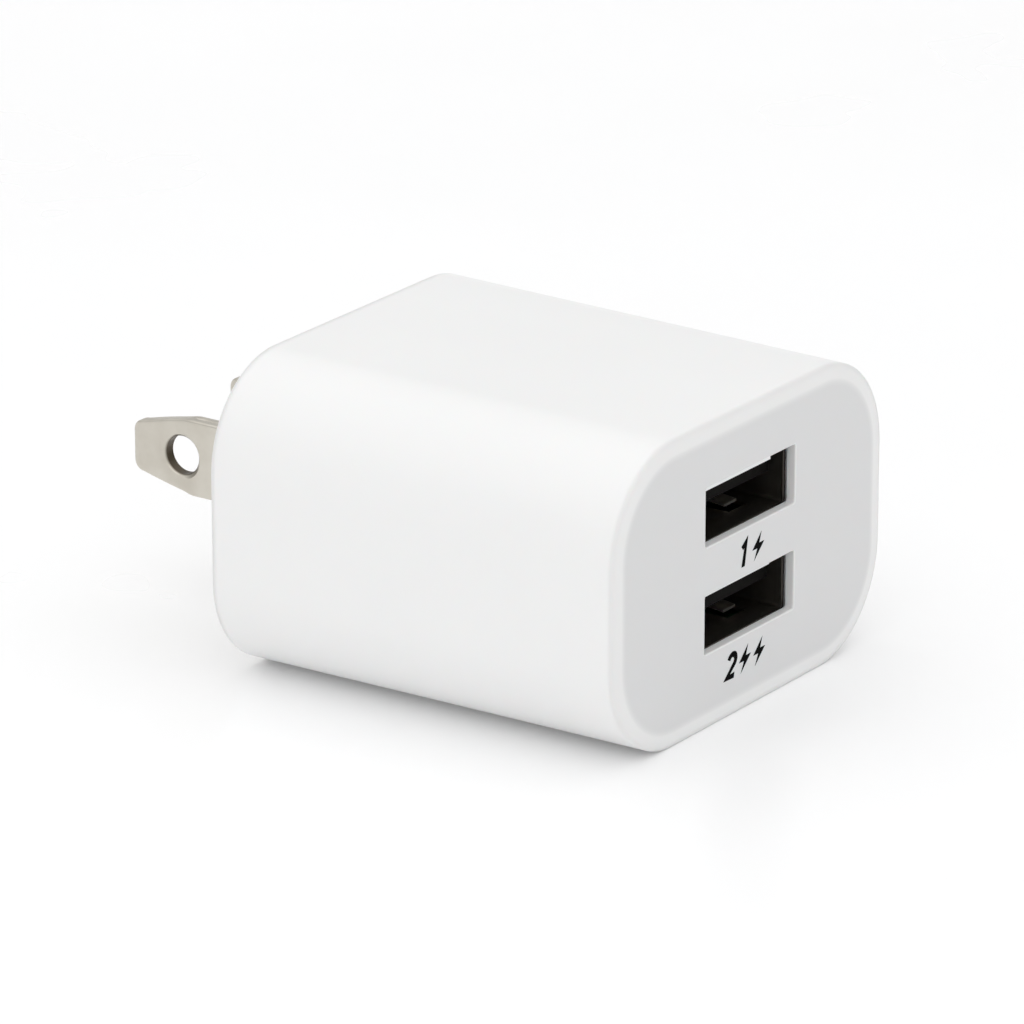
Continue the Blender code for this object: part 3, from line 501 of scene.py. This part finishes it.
def shell_metal(level):
    """A receptacle's folded sheet shell with eased lips and four sprung fingers."""
    low, high = (Vector(corner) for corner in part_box(f"usb_shell_{level}"))
    width, height = high.x - low.x, high.z - low.z
    centre_z = (low.z + high.z) / 2
    ease = SHELL_EASE
    bm = bmesh.new()
    add_shell_loft(bm, width, height, centre_z, (
        (low.y, ease), (low.y + 0.4 * ease, 0.3 * ease), (low.y + ease, 0.0), (high.y, 0.0),
    ))
    metal = new_object(f"usb_shell_{level}_metal", bm)

    bm = bmesh.new()
    add_shell_loft(bm, width, height, centre_z, (
        (low.y - MM, SHEET - ease), (low.y + 0.1 * ease, SHEET - ease),
        (low.y + ease, SHEET), (high.y + MM, SHEET),
    ))
    cut(metal, bm)

    slot_front = low.y + SLOT_START
    slot_rear = slot_front + SLOT_LENGTH
    bm = bmesh.new()
    for x in FINGER_XS:
        for side in (-1, 1):
            wall_z = centre_z + side * height / 2
            add_box(bm, (x - SLOT_WIDTH / 2, slot_front, wall_z - MM / 2),
                    (x + SLOT_WIDTH / 2, slot_rear, wall_z + MM / 2))
    cut(metal, bm)

    bm = bmesh.new()
    for x in FINGER_XS:
        for side in (-1, 1):
            outline = finger_outline(height / 2, side, centre_z, slot_front, slot_rear)
            add_loft(bm, [
                [Vector((fx, y, z)) for y, z in outline]
                for fx in (x - FINGER_WIDTH / 2, x + FINGER_WIDTH / 2)
            ])
    join(metal, bm)

    shade(metal, 30.0)
    metal.data.materials.append(tinned_steel())
    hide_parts(f"usb_shell_{level}")
    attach(metal, "root")


# Port numbers, printed under each window, with small bolts beside each.
INK_THICKNESS = 0.012 * MM
MARK_HEIGHT = 2.2 * MM
STROKE = 0.46 * MM
SLANT = 0.21
NUMERAL_RADIUS = 0.5 * MM
BOLT_WIDTH = 1.75 * MM
FIRST_BOLT = 1.5 * MM
BOLT_PITCH = 2.0 * MM
# Window, number, bolts, middle of the mark, and its foot's depth below the body's centre.
PORT_MARKS = (
    ("upper", 1, 1, 0.2 * MM, 0.6 * MM),
    ("lower", 2, 2, -0.5 * MM, 9.3 * MM),
)


def add_ink_stroke(bm, points, place):
    """One stroke of a printed figure: a ribbon of ink along points, with square ends."""
    left, right = [], []
    points = [Vector(point) for point in points]
    for i, point in enumerate(points):
        before = (point - points[i - 1]).normalized() if i else None
        after = (points[i + 1] - point).normalized() if i + 1 < len(points) else None
        direction = ((before or after) + (after or before)).normalized()
        across = Vector((-direction.y, direction.x))
        across /= max(0.5, direction.dot(after or before))
        left.append(point + across * STROKE / 2)
        right.append(point - across * STROKE / 2)
    add_ink_patch(bm, left + right[::-1], place)


def add_ink_patch(bm, outline, place):
    """A flat, slanted patch of ink on the socket face, from an outline about the mark's corner."""
    base_x, base_z = place
    add_loft(bm, [
        [Vector((base_x + p[0] + SLANT * p[1], y, base_z + p[1])) for p in outline]
        for y in (FRONT_Y - INK_THICKNESS, FRONT_Y + INK_THICKNESS)
    ])


def numeral_strokes(number):
    """Centre lines of a plain numeral 1 or 2, one mark high, from its lower left corner."""
    tall = MARK_HEIGHT - STROKE / 2
    if number == 1:
        return [[(0.05 * MM, tall - 0.45 * MM), (0.5 * MM, tall), (0.5 * MM, 0.0)]]
    radius = NUMERAL_RADIUS
    bow = [
        (radius + radius * cos(angle), tall - radius + radius * sin(angle))
        for angle in (radians(165 - 200 * i / 10) for i in range(11))
    ]
    return [bow + [(0.0, STROKE / 2), (2 * radius + 0.05 * MM, STROKE / 2)]]


def bolt_outline(left):
    """A plain zigzag bolt, the usual sign for charging."""
    corners = (
        (0.62, 1.0), (0.05, 0.42), (0.45, 0.42), (0.3, 0.0), (0.95, 0.6), (0.55, 0.6),
    )
    return [(left + BOLT_WIDTH * x, MARK_HEIGHT * z) for x, z in corners]


def port_mark(level, number, bolts, centre_x, base_z):
    """The printed port number and its bolts below a window."""
    width = FIRST_BOLT + bolts * BOLT_PITCH
    place = (centre_x - width / 2, base_z)
    bm = bmesh.new()
    for stroke in numeral_strokes(number):
        add_ink_stroke(bm, stroke, place)
    for i in range(bolts):
        add_ink_patch(bm, bolt_outline(FIRST_BOLT + i * BOLT_PITCH), place)
    mark = new_object(f"port_mark_{level}", bm)
    mark.data.materials.append(printing_ink())
    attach(mark, "root")


# ---- Materials ---------------------------------------------------------------------------------

# The flat socket face is spark-textured and more matte than the polished moulding round it; its greyer
# colour is painted shade.
FACE_SHADE_COLOUR = (0.727, 0.729, 0.731, 1.0)
FACE_EDGE = (0.0005 * MM, 0.02 * MM)
FACE_MATTING = 0.18
GLOSS_SPREAD = 0.04
WAVE_DEPTH = 1.0e-6
BORDER_EASE = 1.0 * MM
BORDER_START = 7.6 * MM
BORDER_FULL = 8.6 * MM
WHITE = (1.0, 1.0, 1.0, 1.0)
BARE_LEAD = (0.68, 0.68, 0.69, 1.0)
BARE_WIRE = (0.66, 0.64, 0.6, 1.0)
# The part of a noise texture's range that is put to use for gloss.
NOISE_LOW, NOISE_HIGH = 0.3, 0.7
DRAWN_DEPTH = 1.5e-6
SOLID_MIDDLE = 0.5


class Paint:
    """A material's node tree, with short ways to add and join nodes."""

    def __init__(self, name):
        self.material = bpy.data.materials.new(name)
        self.material.use_nodes = True
        self.tree = self.material.node_tree
        self.shader = self.tree.nodes["Principled BSDF"]

    def set(self, **values):
        """Set the shader's own sockets: base_color, roughness and so on."""
        for name, value in values.items():
            socket = name.replace("_", " ").title().replace("Ior", "IOR")
            self.shader.inputs[socket].default_value = value

    def node(self, kind, inputs=None, **settings):
        """Add a node. An input is a number, a colour or another node's output."""
        made = self.tree.nodes.new(kind)
        for name, value in settings.items():
            setattr(made, name, value)
        for name, value in (inputs or {}).items():
            if isinstance(value, bpy.types.NodeSocket):
                self.tree.links.new(value, made.inputs[name])
            else:
                made.inputs[name].default_value = value
        return made

    def drive(self, socket, output):
        """Feed one of the shader's sockets."""
        self.tree.links.new(output, self.shader.inputs[socket])

    def driver(self, socket):
        """What feeds one of the shader's sockets now."""
        return self.shader.inputs[socket].links[0].from_socket

    def place(self, space="Object"):
        """A point's place, in metres or as shares of the piece's own box (Generated)."""
        return self.node("ShaderNodeTexCoord").outputs[space]

    def noise(self, scale, detail=4.0, roughness=0.55, stretch=(1, 1, 1)):
        """Noise laid through the piece in metres, stretched along an axis where asked."""
        spread = self.node("ShaderNodeMapping", {"Vector": self.place(), "Scale": stretch})
        made = self.node("ShaderNodeTexNoise", {
            "Vector": spread.outputs[0], "Scale": scale, "Detail": detail, "Roughness": roughness,
        })
        return made.outputs["Fac"]

    def ramp(self, value, low, high, out_low, out_high):
        """Map a value's range onto another, clamped."""
        made = self.node("ShaderNodeMapRange", {
            "Value": value, "From Min": low, "From Max": high, "To Min": out_low, "To Max": out_high,
        })
        return made.outputs["Result"]

    def mix(self, share, first, second):
        """Blend two colours."""
        made = self.node("ShaderNodeMix", data_type="RGBA")
        for name, value in (("Factor", share), ("A", first), ("B", second)):
            socket = next(s for s in made.inputs if s.name == name and s.enabled)
            if isinstance(value, bpy.types.NodeSocket):
                self.tree.links.new(value, socket)
            else:
                socket.default_value = value
        return next(s for s in made.outputs if s.enabled)

    def blotches(self, texture, start, full, colour, tint):
        """Pass from one colour to another where a texture rises from start to full."""
        return self.mix(self.ramp(texture, start, full, 0.0, 1.0), colour, tint)

    def gloss(self, texture, low, high):
        """Vary the roughness between two values with a texture."""
        self.drive("Roughness", self.ramp(texture, NOISE_LOW, NOISE_HIGH, low, high))

    def math(self, operation, first, second=0.0):
        """Work a value out from one or two others."""
        made = self.node("ShaderNodeMath", {0: first, 1: second}, operation=operation)
        return made.outputs[0]

    def away_from(self, value, centre):
        """How far a value is from a centre, either way."""
        return self.math("ABSOLUTE", self.math("SUBTRACT", value, centre))

    def axes(self, space="Object"):
        """The three parts of a point's place."""
        return self.node("ShaderNodeSeparateXYZ", {0: self.place(space)}).outputs

    def bump(self, height, depth, strength=1.0, under=None):
        """Raise the surface by height times depth, in metres."""
        inputs = {"Height": height, "Distance": depth, "Strength": strength}
        if under:
            inputs["Normal"] = under
        return self.node("ShaderNodeBump", inputs).outputs["Normal"]


def softened_border(paint):
    """The surface's direction, eased round the front border but left crisp at the windows."""
    eased = paint.node("ShaderNodeBevel", {"Radius": BORDER_EASE}, samples=8).outputs["Normal"]
    plain = paint.node("ShaderNodeNewGeometry").outputs["Normal"]
    x, _y, z = paint.axes()
    across = paint.ramp(paint.math("ABSOLUTE", x), BORDER_START, BORDER_FULL, 0.0, 1.0)
    rise = paint.away_from(z, BODY_Z)
    outer = paint.math("MAXIMUM", across, paint.ramp(rise, BORDER_START, BORDER_FULL, 0.0, 1.0))
    blend = paint.node("ShaderNodeMix", data_type="VECTOR")
    sockets = {socket.name: socket for socket in blend.inputs if socket.enabled}
    for name, output in (("Factor", outer), ("A", plain), ("B", eased)):
        paint.tree.links.new(output, sockets[name])
    return next(socket for socket in blend.outputs if socket.enabled)


def moulded_plastic(name, colour, tint, gloss, grain):
    """Injection-moulded plastic: faint flow clouding, uneven gloss, soft waviness and fine grain."""
    paint = Paint(name)
    paint.set(subsurface_weight=0.06, subsurface_scale=1.2 * MM, ior=1.5)
    cloud = paint.noise(55.0, 3.0)
    clouded = paint.blotches(cloud, 0.35, 0.65, colour, tint)
    depth = paint.axes()["Y"]
    face = paint.ramp(depth, FRONT_Y + FACE_EDGE[0], FRONT_Y + FACE_EDGE[1], 1.0, 0.0)
    # Painted shade: the flat socket face takes a greyer colour than the moulding round it.
    paint.drive("Base Color", paint.mix(face, clouded, FACE_SHADE_COLOUR))
    speckle = paint.noise(2600.0, 3.0)
    smear = paint.noise(120.0, 5.0, 0.6, (1.0, 0.35, 1.0))
    uneven = paint.ramp(smear, NOISE_LOW, NOISE_HIGH, gloss - GLOSS_SPREAD, gloss + GLOSS_SPREAD)
    matte_face = paint.math("MULTIPLY", face, FACE_MATTING)
    paint.drive("Roughness", paint.math("ADD", uneven, matte_face))
    wave = paint.bump(paint.noise(160.0, 2.0), WAVE_DEPTH, 1.0, softened_border(paint))
    paint.drive("Normal", paint.bump(speckle, grain, 1.0, wave))
    return paint.material


def housing_plastic():
    """The polished white of the housing."""
    return moulded_plastic("housing_white_plastic", (0.86, 0.862, 0.858, 1.0),
                           (0.85, 0.852, 0.849, 1.0), 0.34, 0.12e-6)


def cover_plastic():
    """The cover's white, a little duller and coarser than the housing's."""
    return moulded_plastic("cover_white_plastic", (0.845, 0.847, 0.843, 1.0),
                           (0.825, 0.828, 0.826, 1.0), 0.42, 1.6e-6)


def black_nylon():
    """Glass-filled black nylon, matte, with a fine grain."""
    paint = Paint("black_nylon_moulding")
    paint.set(specular_ior_level=0.06)
    speck = paint.noise(4000.0, 3.0)
    paint.drive("Base Color", paint.blotches(speck, 0.45, 0.7, (0.005, 0.0045, 0.004, 1.0),
                                             (0.012, 0.011, 0.01, 1.0)))
    paint.gloss(speck, 0.62, 0.78)
    paint.drive("Normal", paint.bump(speck, 4e-6))
    return paint.material


def metal(name, colour, dull, low, high, streak):
    """Drawn or plated sheet metal: long streaks, blotchy plating and a trace of handling."""
    paint = Paint(name)
    paint.set(metallic=1.0)
    drawn = paint.noise(1500.0, 4.0, 0.6, streak)
    blotch = paint.noise(260.0, 4.0)
    share = paint.math("MULTIPLY", paint.ramp(blotch, 0.4, 0.7, 0.0, 1.0), 0.75)
    paint.drive("Base Color", paint.mix(share, colour, dull))
    streaked = paint.ramp(drawn, NOISE_LOW, NOISE_HIGH, low, high)
    handled = paint.ramp(blotch, 0.35, 0.7, 0.0, 0.07)
    paint.drive("Roughness", paint.math("ADD", streaked, handled))
    paint.drive("Normal", paint.bump(drawn, DRAWN_DEPTH))
    return paint


def nickel_plate():
    """Plated brass, the punched wall of its hole painted dark as shade."""
    bore_shade = (0.1, 0.082, 0.06, 1.0)
    paint = metal("nickel_plate", (0.63, 0.6, 0.535, 1.0), (0.53, 0.495, 0.43, 1.0), 0.26, 0.4,
                  (1.0, 0.05, 1.0))
    _x, y, z = paint.axes()
    along = paint.math("SUBTRACT", y, HOLE_Y)
    reach = paint.math("SQRT", paint.math("ADD", paint.math("MULTIPLY", along, along),
                                          paint.math("MULTIPLY", z, z)))
    # Painted shade: the wall of the hole is painted near black.
    inside = paint.ramp(reach, HOLE_RADIUS, HOLE_RADIUS + BORE_EDGE, 1.0, 0.0)
    paint.drive("Base Color", paint.mix(inside, paint.driver("Base Color"), bore_shade))
    return paint.material


def tinned_steel():
    """Tinned sheet, painted dark as shade in the shell's depth, painted bright as glints on its sprung
    fingers, its cut front edge painted dark as shade.
    """
    # Painted shade: both sheet colours are dark for the shade deep in the socket.
    paint = metal("tinned_steel_sheet", (0.24, 0.225, 0.2, 1.0), (0.15, 0.142, 0.125, 1.0), 0.28, 0.42,
                  (0.05, 1.0, 1.0))
    x, y, z = paint.axes("Generated")
    # Painted glint: the bowed middles of the sprung fingers are painted bright.
    middle = paint.ramp(paint.away_from(x, SOLID_MIDDLE), 0.34, 0.37, 1.0, 0.0)
    bowed = paint.ramp(paint.away_from(z, SOLID_MIDDLE), 0.41, 0.44, 1.0, 0.0)
    finger = paint.math("MULTIPLY", middle, bowed)
    painted_glint = paint.mix(finger, paint.driver("Base Color"), (0.82, 0.8, 0.74, 1.0))
    # Painted shade: the cut front edge of the sheet is painted near black.
    shaded_cut_edge = paint.ramp(y, 0.008, 0.014, 1.0, 0.0)
    paint.drive("Base Color", paint.mix(shaded_cut_edge, painted_glint, (0.05, 0.045, 0.04, 1.0)))
    return paint.material


def gold_contact():
    """Thin gold over the contact springs."""
    return metal("gold_flash", (0.85, 0.62, 0.26, 1.0), (0.7, 0.48, 0.2, 1.0), 0.2, 0.32,
                 (1.0, 0.06, 1.0)).material


def printing_ink():
    """Pad-printed black ink, slightly uneven, with soft pinholes."""
    paint = Paint("printing_ink")
    paint.set(specular_ior_level=0.02)
    grain = paint.noise(9000.0, 4.0)
    paint.drive("Base Color", paint.blotches(grain, 0.55, 0.75, (0.003, 0.003, 0.003, 1.0),
                                             (0.01, 0.01, 0.0105, 1.0)))
    paint.gloss(grain, 0.6, 0.8)
    paint.drive("Normal", paint.bump(grain, 2e-6))
    return paint.material


def simple_finish(name, colour, tint, low, high, scale, depth):
    """A plain part's finish: two close colours, uneven gloss and a fine grain."""
    paint = Paint(name)
    grain = paint.noise(scale, 4.0)
    paint.drive("Base Color", paint.blotches(grain, 0.4, 0.68, colour, tint))
    paint.gloss(grain, low, high)
    paint.drive("Normal", paint.bump(grain, depth))
    return paint.material


def circuit_board():
    """Green solder mask over copper tracks, with the weave of the glass faintly showing."""
    paint = Paint("solder_mask")
    second, first = (
        paint.node("ShaderNodeTexVoronoi", {
            "Vector": paint.place(), "Scale": 620.0, "Randomness": 0.55,
        }, distance="CHEBYCHEV", feature=feature).outputs["Distance"]
        for feature in ("F2", "F1")
    )
    track = paint.ramp(paint.math("SUBTRACT", second, first), 0.06, 0.1, 1.0, 0.0)
    weave = paint.noise(5200.0, 2.0)
    base = paint.mix(track, (0.018, 0.13, 0.05, 1.0), (0.05, 0.26, 0.1, 1.0))
    woven = paint.ramp(weave, 0.4, 0.7, 0.0, 0.3)
    paint.drive("Base Color", paint.mix(woven, base, (0.02, 0.1, 0.045, 1.0)))
    paint.gloss(weave, 0.25, 0.4)
    paint.drive("Normal", paint.bump(weave, 2e-6, 1.0, paint.bump(track, 12e-6)))
    return paint.material


def capacitor_sleeve():
    """A dark shrunk sleeve with a pale stripe down one side and the bare can on top."""
    paint = Paint("capacitor_shrink_sleeve")
    x, _y, z = paint.axes("Generated")
    grain = paint.noise(3000.0, 3.0)
    stripe = paint.ramp(x, 0.9, 0.91, 0.0, 1.0)
    top = paint.ramp(z, 0.985, 0.99, 0.0, 1.0)
    dark = paint.mix(stripe, (0.015, 0.022, 0.05, 1.0), (0.5, 0.52, 0.55, 1.0))
    paint.drive("Base Color", paint.mix(top, dark, (0.72, 0.73, 0.74, 1.0)))
    paint.drive("Metallic", top)
    paint.gloss(grain, 0.24, 0.4)
    paint.drive("Normal", paint.bump(grain, 2e-6))
    return paint.material


def winding_tape():
    """Amber polyester tape in turns, each turn's edge just proud of the last."""
    paint = Paint("winding_tape_turns")
    waves = paint.node("ShaderNodeTexWave", {
        "Vector": paint.place(), "Scale": 380.0, "Distortion": 1.2, "Detail": 2.0,
    }, bands_direction="X")
    grain = paint.noise(1400.0, 3.0)
    turns = waves.outputs["Fac"]
    paint.drive("Base Color", paint.mix(turns, (0.62, 0.42, 0.05, 1.0), (0.8, 0.6, 0.1, 1.0)))
    paint.gloss(grain, 0.2, 0.38)
    paint.drive("Normal", paint.bump(turns, 20e-6, 0.6))
    return paint.material


def leaded_package(name, body, tint, across, edge):
    """A moulded body whose bare metal leads lie outside the given share of one axis."""
    paint = Paint(name)
    outer = paint.away_from(paint.axes("Generated")[across], SOLID_MIDDLE)
    lead = paint.ramp(outer, edge - 0.005, edge + 0.005, 0.0, 1.0)
    grain = paint.noise(3600.0, 3.0)
    plain = paint.blotches(grain, 0.4, 0.7, body, tint)
    paint.drive("Base Color", paint.mix(lead, plain, BARE_LEAD))
    paint.drive("Metallic", lead)
    paint.gloss(grain, 0.38, 0.56)
    paint.drive("Normal", paint.bump(grain, 4e-6))
    return paint.material


def banded_resistor():
    """A grey coated resistor with colour bands, its wire leads bare."""
    paint = Paint("resistor_bands")
    x = paint.axes("Generated")[0]
    grain = paint.noise(3000.0, 3.0)
    colour = paint.blotches(grain, 0.4, 0.7, (0.2, 0.28, 0.25, 1.0), (0.27, 0.35, 0.31, 1.0))
    bands = ((0.3, (0.3, 0.12, 0.04, 1.0)), (0.4, (0.012, 0.012, 0.012, 1.0)),
             (0.5, (0.4, 0.16, 0.02, 1.0)), (0.66, (0.75, 0.55, 0.15, 1.0)))
    for centre, shade_colour in bands:
        band = paint.ramp(paint.away_from(x, centre), 0.018, 0.024, 1.0, 0.0)
        colour = paint.mix(band, colour, shade_colour)
    lead = paint.ramp(paint.away_from(x, SOLID_MIDDLE), 0.312, 0.316, 0.0, 1.0)
    paint.drive("Base Color", paint.mix(lead, colour, BARE_WIRE))
    paint.drive("Metallic", lead)
    paint.gloss(grain, 0.34, 0.5)
    paint.drive("Normal", paint.bump(grain, 3e-6))
    return paint.material


def fibre_paper():
    """Tan insulating paper with a coarse grain."""
    return simple_finish("fibre_paper", (0.6, 0.52, 0.36, 1.0), (0.46, 0.38, 0.25, 1.0),
                         0.7, 0.88, 1800.0, 8e-6)


def finish_inner_parts():
    """Give each CAD node that stays its own finished material."""
    board = circuit_board()
    epoxy = leaded_package("chip_package", (0.018, 0.018, 0.02, 1.0), (0.035, 0.035, 0.037, 1.0),
                           0, 0.335)
    diode = leaded_package("diode_package", (0.02, 0.02, 0.022, 1.0), (0.04, 0.04, 0.042, 1.0),
                           1, 0.27)
    finishes = {
        "usb_insulator": black_nylon(),
        "usb_contact": gold_contact(),
        "usb_board": board,
        "main_board": board,
        "transformer_core": simple_finish("ferrite", (0.05, 0.05, 0.055, 1.0), (0.1, 0.1, 0.105, 1.0),
                                          0.5, 0.72, 2600.0, 5e-6),
        "transformer_bobbin": simple_finish("bobbin_moulding", (0.02, 0.02, 0.021, 1.0),
                                            (0.035, 0.035, 0.036, 1.0), 0.36, 0.52, 3000.0, 3e-6),
        "transformer_winding": winding_tape(),
        "input_capacitor": capacitor_sleeve(),
        "output_capacitor": capacitor_sleeve(),
        "y_capacitor": simple_finish("dipped_epoxy", (0.02, 0.11, 0.4, 1.0), (0.03, 0.15, 0.5, 1.0),
                                     0.28, 0.42, 420.0, 14e-6),
        "bridge_rectifier": epoxy,
        "charge_control_chip": epoxy,
        "optocoupler": epoxy,
        "output_diode": diode,
        "fusible_resistor": banded_resistor(),
        "filter_inductor": leaded_package("choke_sleeve", (0.06, 0.28, 0.12, 1.0),
                                          (0.09, 0.36, 0.17, 1.0), 1, 0.31),
        "mains_wire_live": simple_finish("red_insulation", (0.5, 0.02, 0.02, 1.0), (0.4, 0.015, 0.015, 1.0),
                                         0.32, 0.46, 900.0, 3e-6),
        "mains_wire_neutral": simple_finish("black_insulation", (0.015, 0.015, 0.016, 1.0),
                                            (0.03, 0.03, 0.031, 1.0), 0.32, 0.46, 900.0, 3e-6),
        "insulation_sheet": fibre_paper(),
    }
    for name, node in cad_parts.items():
        for start, finish in finishes.items():
            if name.startswith(start):
                for place in node.material_slots:
                    place.material = finish


# ---- Floor, light and camera -------------------------------------------------------------------

FLOOR_RADIUS = 1.5
SWEEP = 0.25
WALL_RISE = 0.1
HORIZON_GLOW = 0.2
ZENITH_GLOW = 1.38
FLOOR_GLOW = 0.045
FLOOR_CLEARANCE = 0.02 * MM
KEY_POWER = 1.6
KEY_SIZE = (1.1, 1.1)
KEY_PLACE = (-0.78, -0.12, 0.55)
CLIP_START, CLIP_END = 0.01, 10.0


def floor_paint():
    """A pale sweep that glows a very little, with the faintest mottling and sheen."""
    paint = Paint("studio_sweep")
    mottle = paint.noise(14.0, 4.0)
    paint.set(emission_color=WHITE, emission_strength=FLOOR_GLOW)
    paint.drive("Base Color", paint.mix(mottle, (0.945, 0.945, 0.948, 1.0), (0.96, 0.96, 0.963, 1.0)))
    paint.gloss(mottle, 0.26, 0.32)
    return paint.material


def floor():
    """A round floor that sweeps up all the way round, tilted so that the drafted housing lies on it."""
    sides = 96
    steps = 12
    profile = [(FLOOR_RADIUS, 0.0)]
    for i in range(1, steps + 1):
        angle = pi / 2 * i / steps
        profile.append((FLOOR_RADIUS + SWEEP * sin(angle), SWEEP * (1 - cos(angle))))
    profile.append((FLOOR_RADIUS + SWEEP, SWEEP + WALL_RISE))
    bm = bmesh.new()
    loops = [
        [
            bm.verts.new((radius * cos(angle), radius * sin(angle), height))
            for angle in (2 * pi * i / sides for i in range(sides))
        ]
        for radius, height in profile
    ]
    bm.faces.new(loops[0])
    for near, far in zip(loops, loops[1:]):
        for i in range(sides):
            j = (i + 1) % sides
            bm.faces.new((near[i], near[j], far[j], far[i]))
    sweep = new_object("floor", bm)
    sweep.data.shade_smooth()
    tilt = DRAFT_HEIGHT / 2 / BODY_LENGTH
    lying = Matrix.Rotation(-tilt, 4, "X")
    foot = Vector((0.0, REAR_Y, HOUSING_LOW.z - FLOOR_CLEARANCE))
    sweep.matrix_world = Matrix.Translation(foot) @ lying
    sweep.data.materials.append(floor_paint())


def softbox(name, size, place, aim, power):
    """An oblong white area light that faces a point."""
    data = bpy.data.lights.new(name, "AREA")
    data.shape = "RECTANGLE"
    data.size, data.size_y = size
    data.energy = power
    lamp = bpy.data.objects.new(name, data)
    lamp.location = place
    lamp.rotation_euler = (Vector(aim) - Vector(place)).to_track_quat("-Z", "Y").to_euler()
    bpy.context.scene.collection.objects.link(lamp)


def studio():
    """Surroundings that brighten towards the top, and a wide softbox high on the left."""
    world = bpy.data.worlds.new("studio")
    world.use_nodes = True
    nodes, links = world.node_tree.nodes, world.node_tree.links
    height = nodes.new("ShaderNodeSeparateXYZ")
    links.new(nodes.new("ShaderNodeTexCoord").outputs["Generated"], height.inputs[0])
    glow = nodes.new("ShaderNodeMapRange")
    glow.inputs["To Min"].default_value = HORIZON_GLOW
    glow.inputs["To Max"].default_value = ZENITH_GLOW
    links.new(height.outputs["Z"], glow.inputs["Value"])
    back = nodes["Background"]
    back.inputs["Color"].default_value = WHITE
    links.new(glow.outputs["Result"], back.inputs["Strength"])
    bpy.context.scene.world = world
    aim = (0.0, FRONT_Y / 2, 0.0)
    softbox("key_softbox", KEY_SIZE, KEY_PLACE, aim, KEY_POWER)


def camera():
    """The viewing angle: from the front left, a little above, through a long lens."""
    data = bpy.data.cameras.new("camera")
    data.lens = LENS
    data.sensor_width = SENSOR
    data.clip_start = CLIP_START
    data.clip_end = CLIP_END
    made = bpy.data.objects.new("camera", data)
    azimuth, elevation = radians(VIEW_AZIMUTH), radians(VIEW_ELEVATION)
    away = Vector((
        sin(azimuth) * cos(elevation), -cos(azimuth) * cos(elevation), sin(elevation),
    ))
    made.location = VIEW_TARGET + VIEW_DISTANCE * away
    made.rotation_euler = (-away).to_track_quat("-Z", "Y").to_euler()
    bpy.context.scene.collection.objects.link(made)
    bpy.context.scene.camera = made


camera()
studio()
floor()
housing_skin()
cover_skin()
for blade_side in ("left", "right"):
    blade_metal(blade_side)
for socket_level in LEVELS:
    shell_metal(socket_level)
for socket_level, port_number, bolt_count, mark_x, mark_depth in PORT_MARKS:
    port_mark(socket_level, port_number, bolt_count, mark_x, BODY_Z - mark_depth)
finish_inner_parts()

bpy.context.scene.view_settings.view_transform = "Standard"
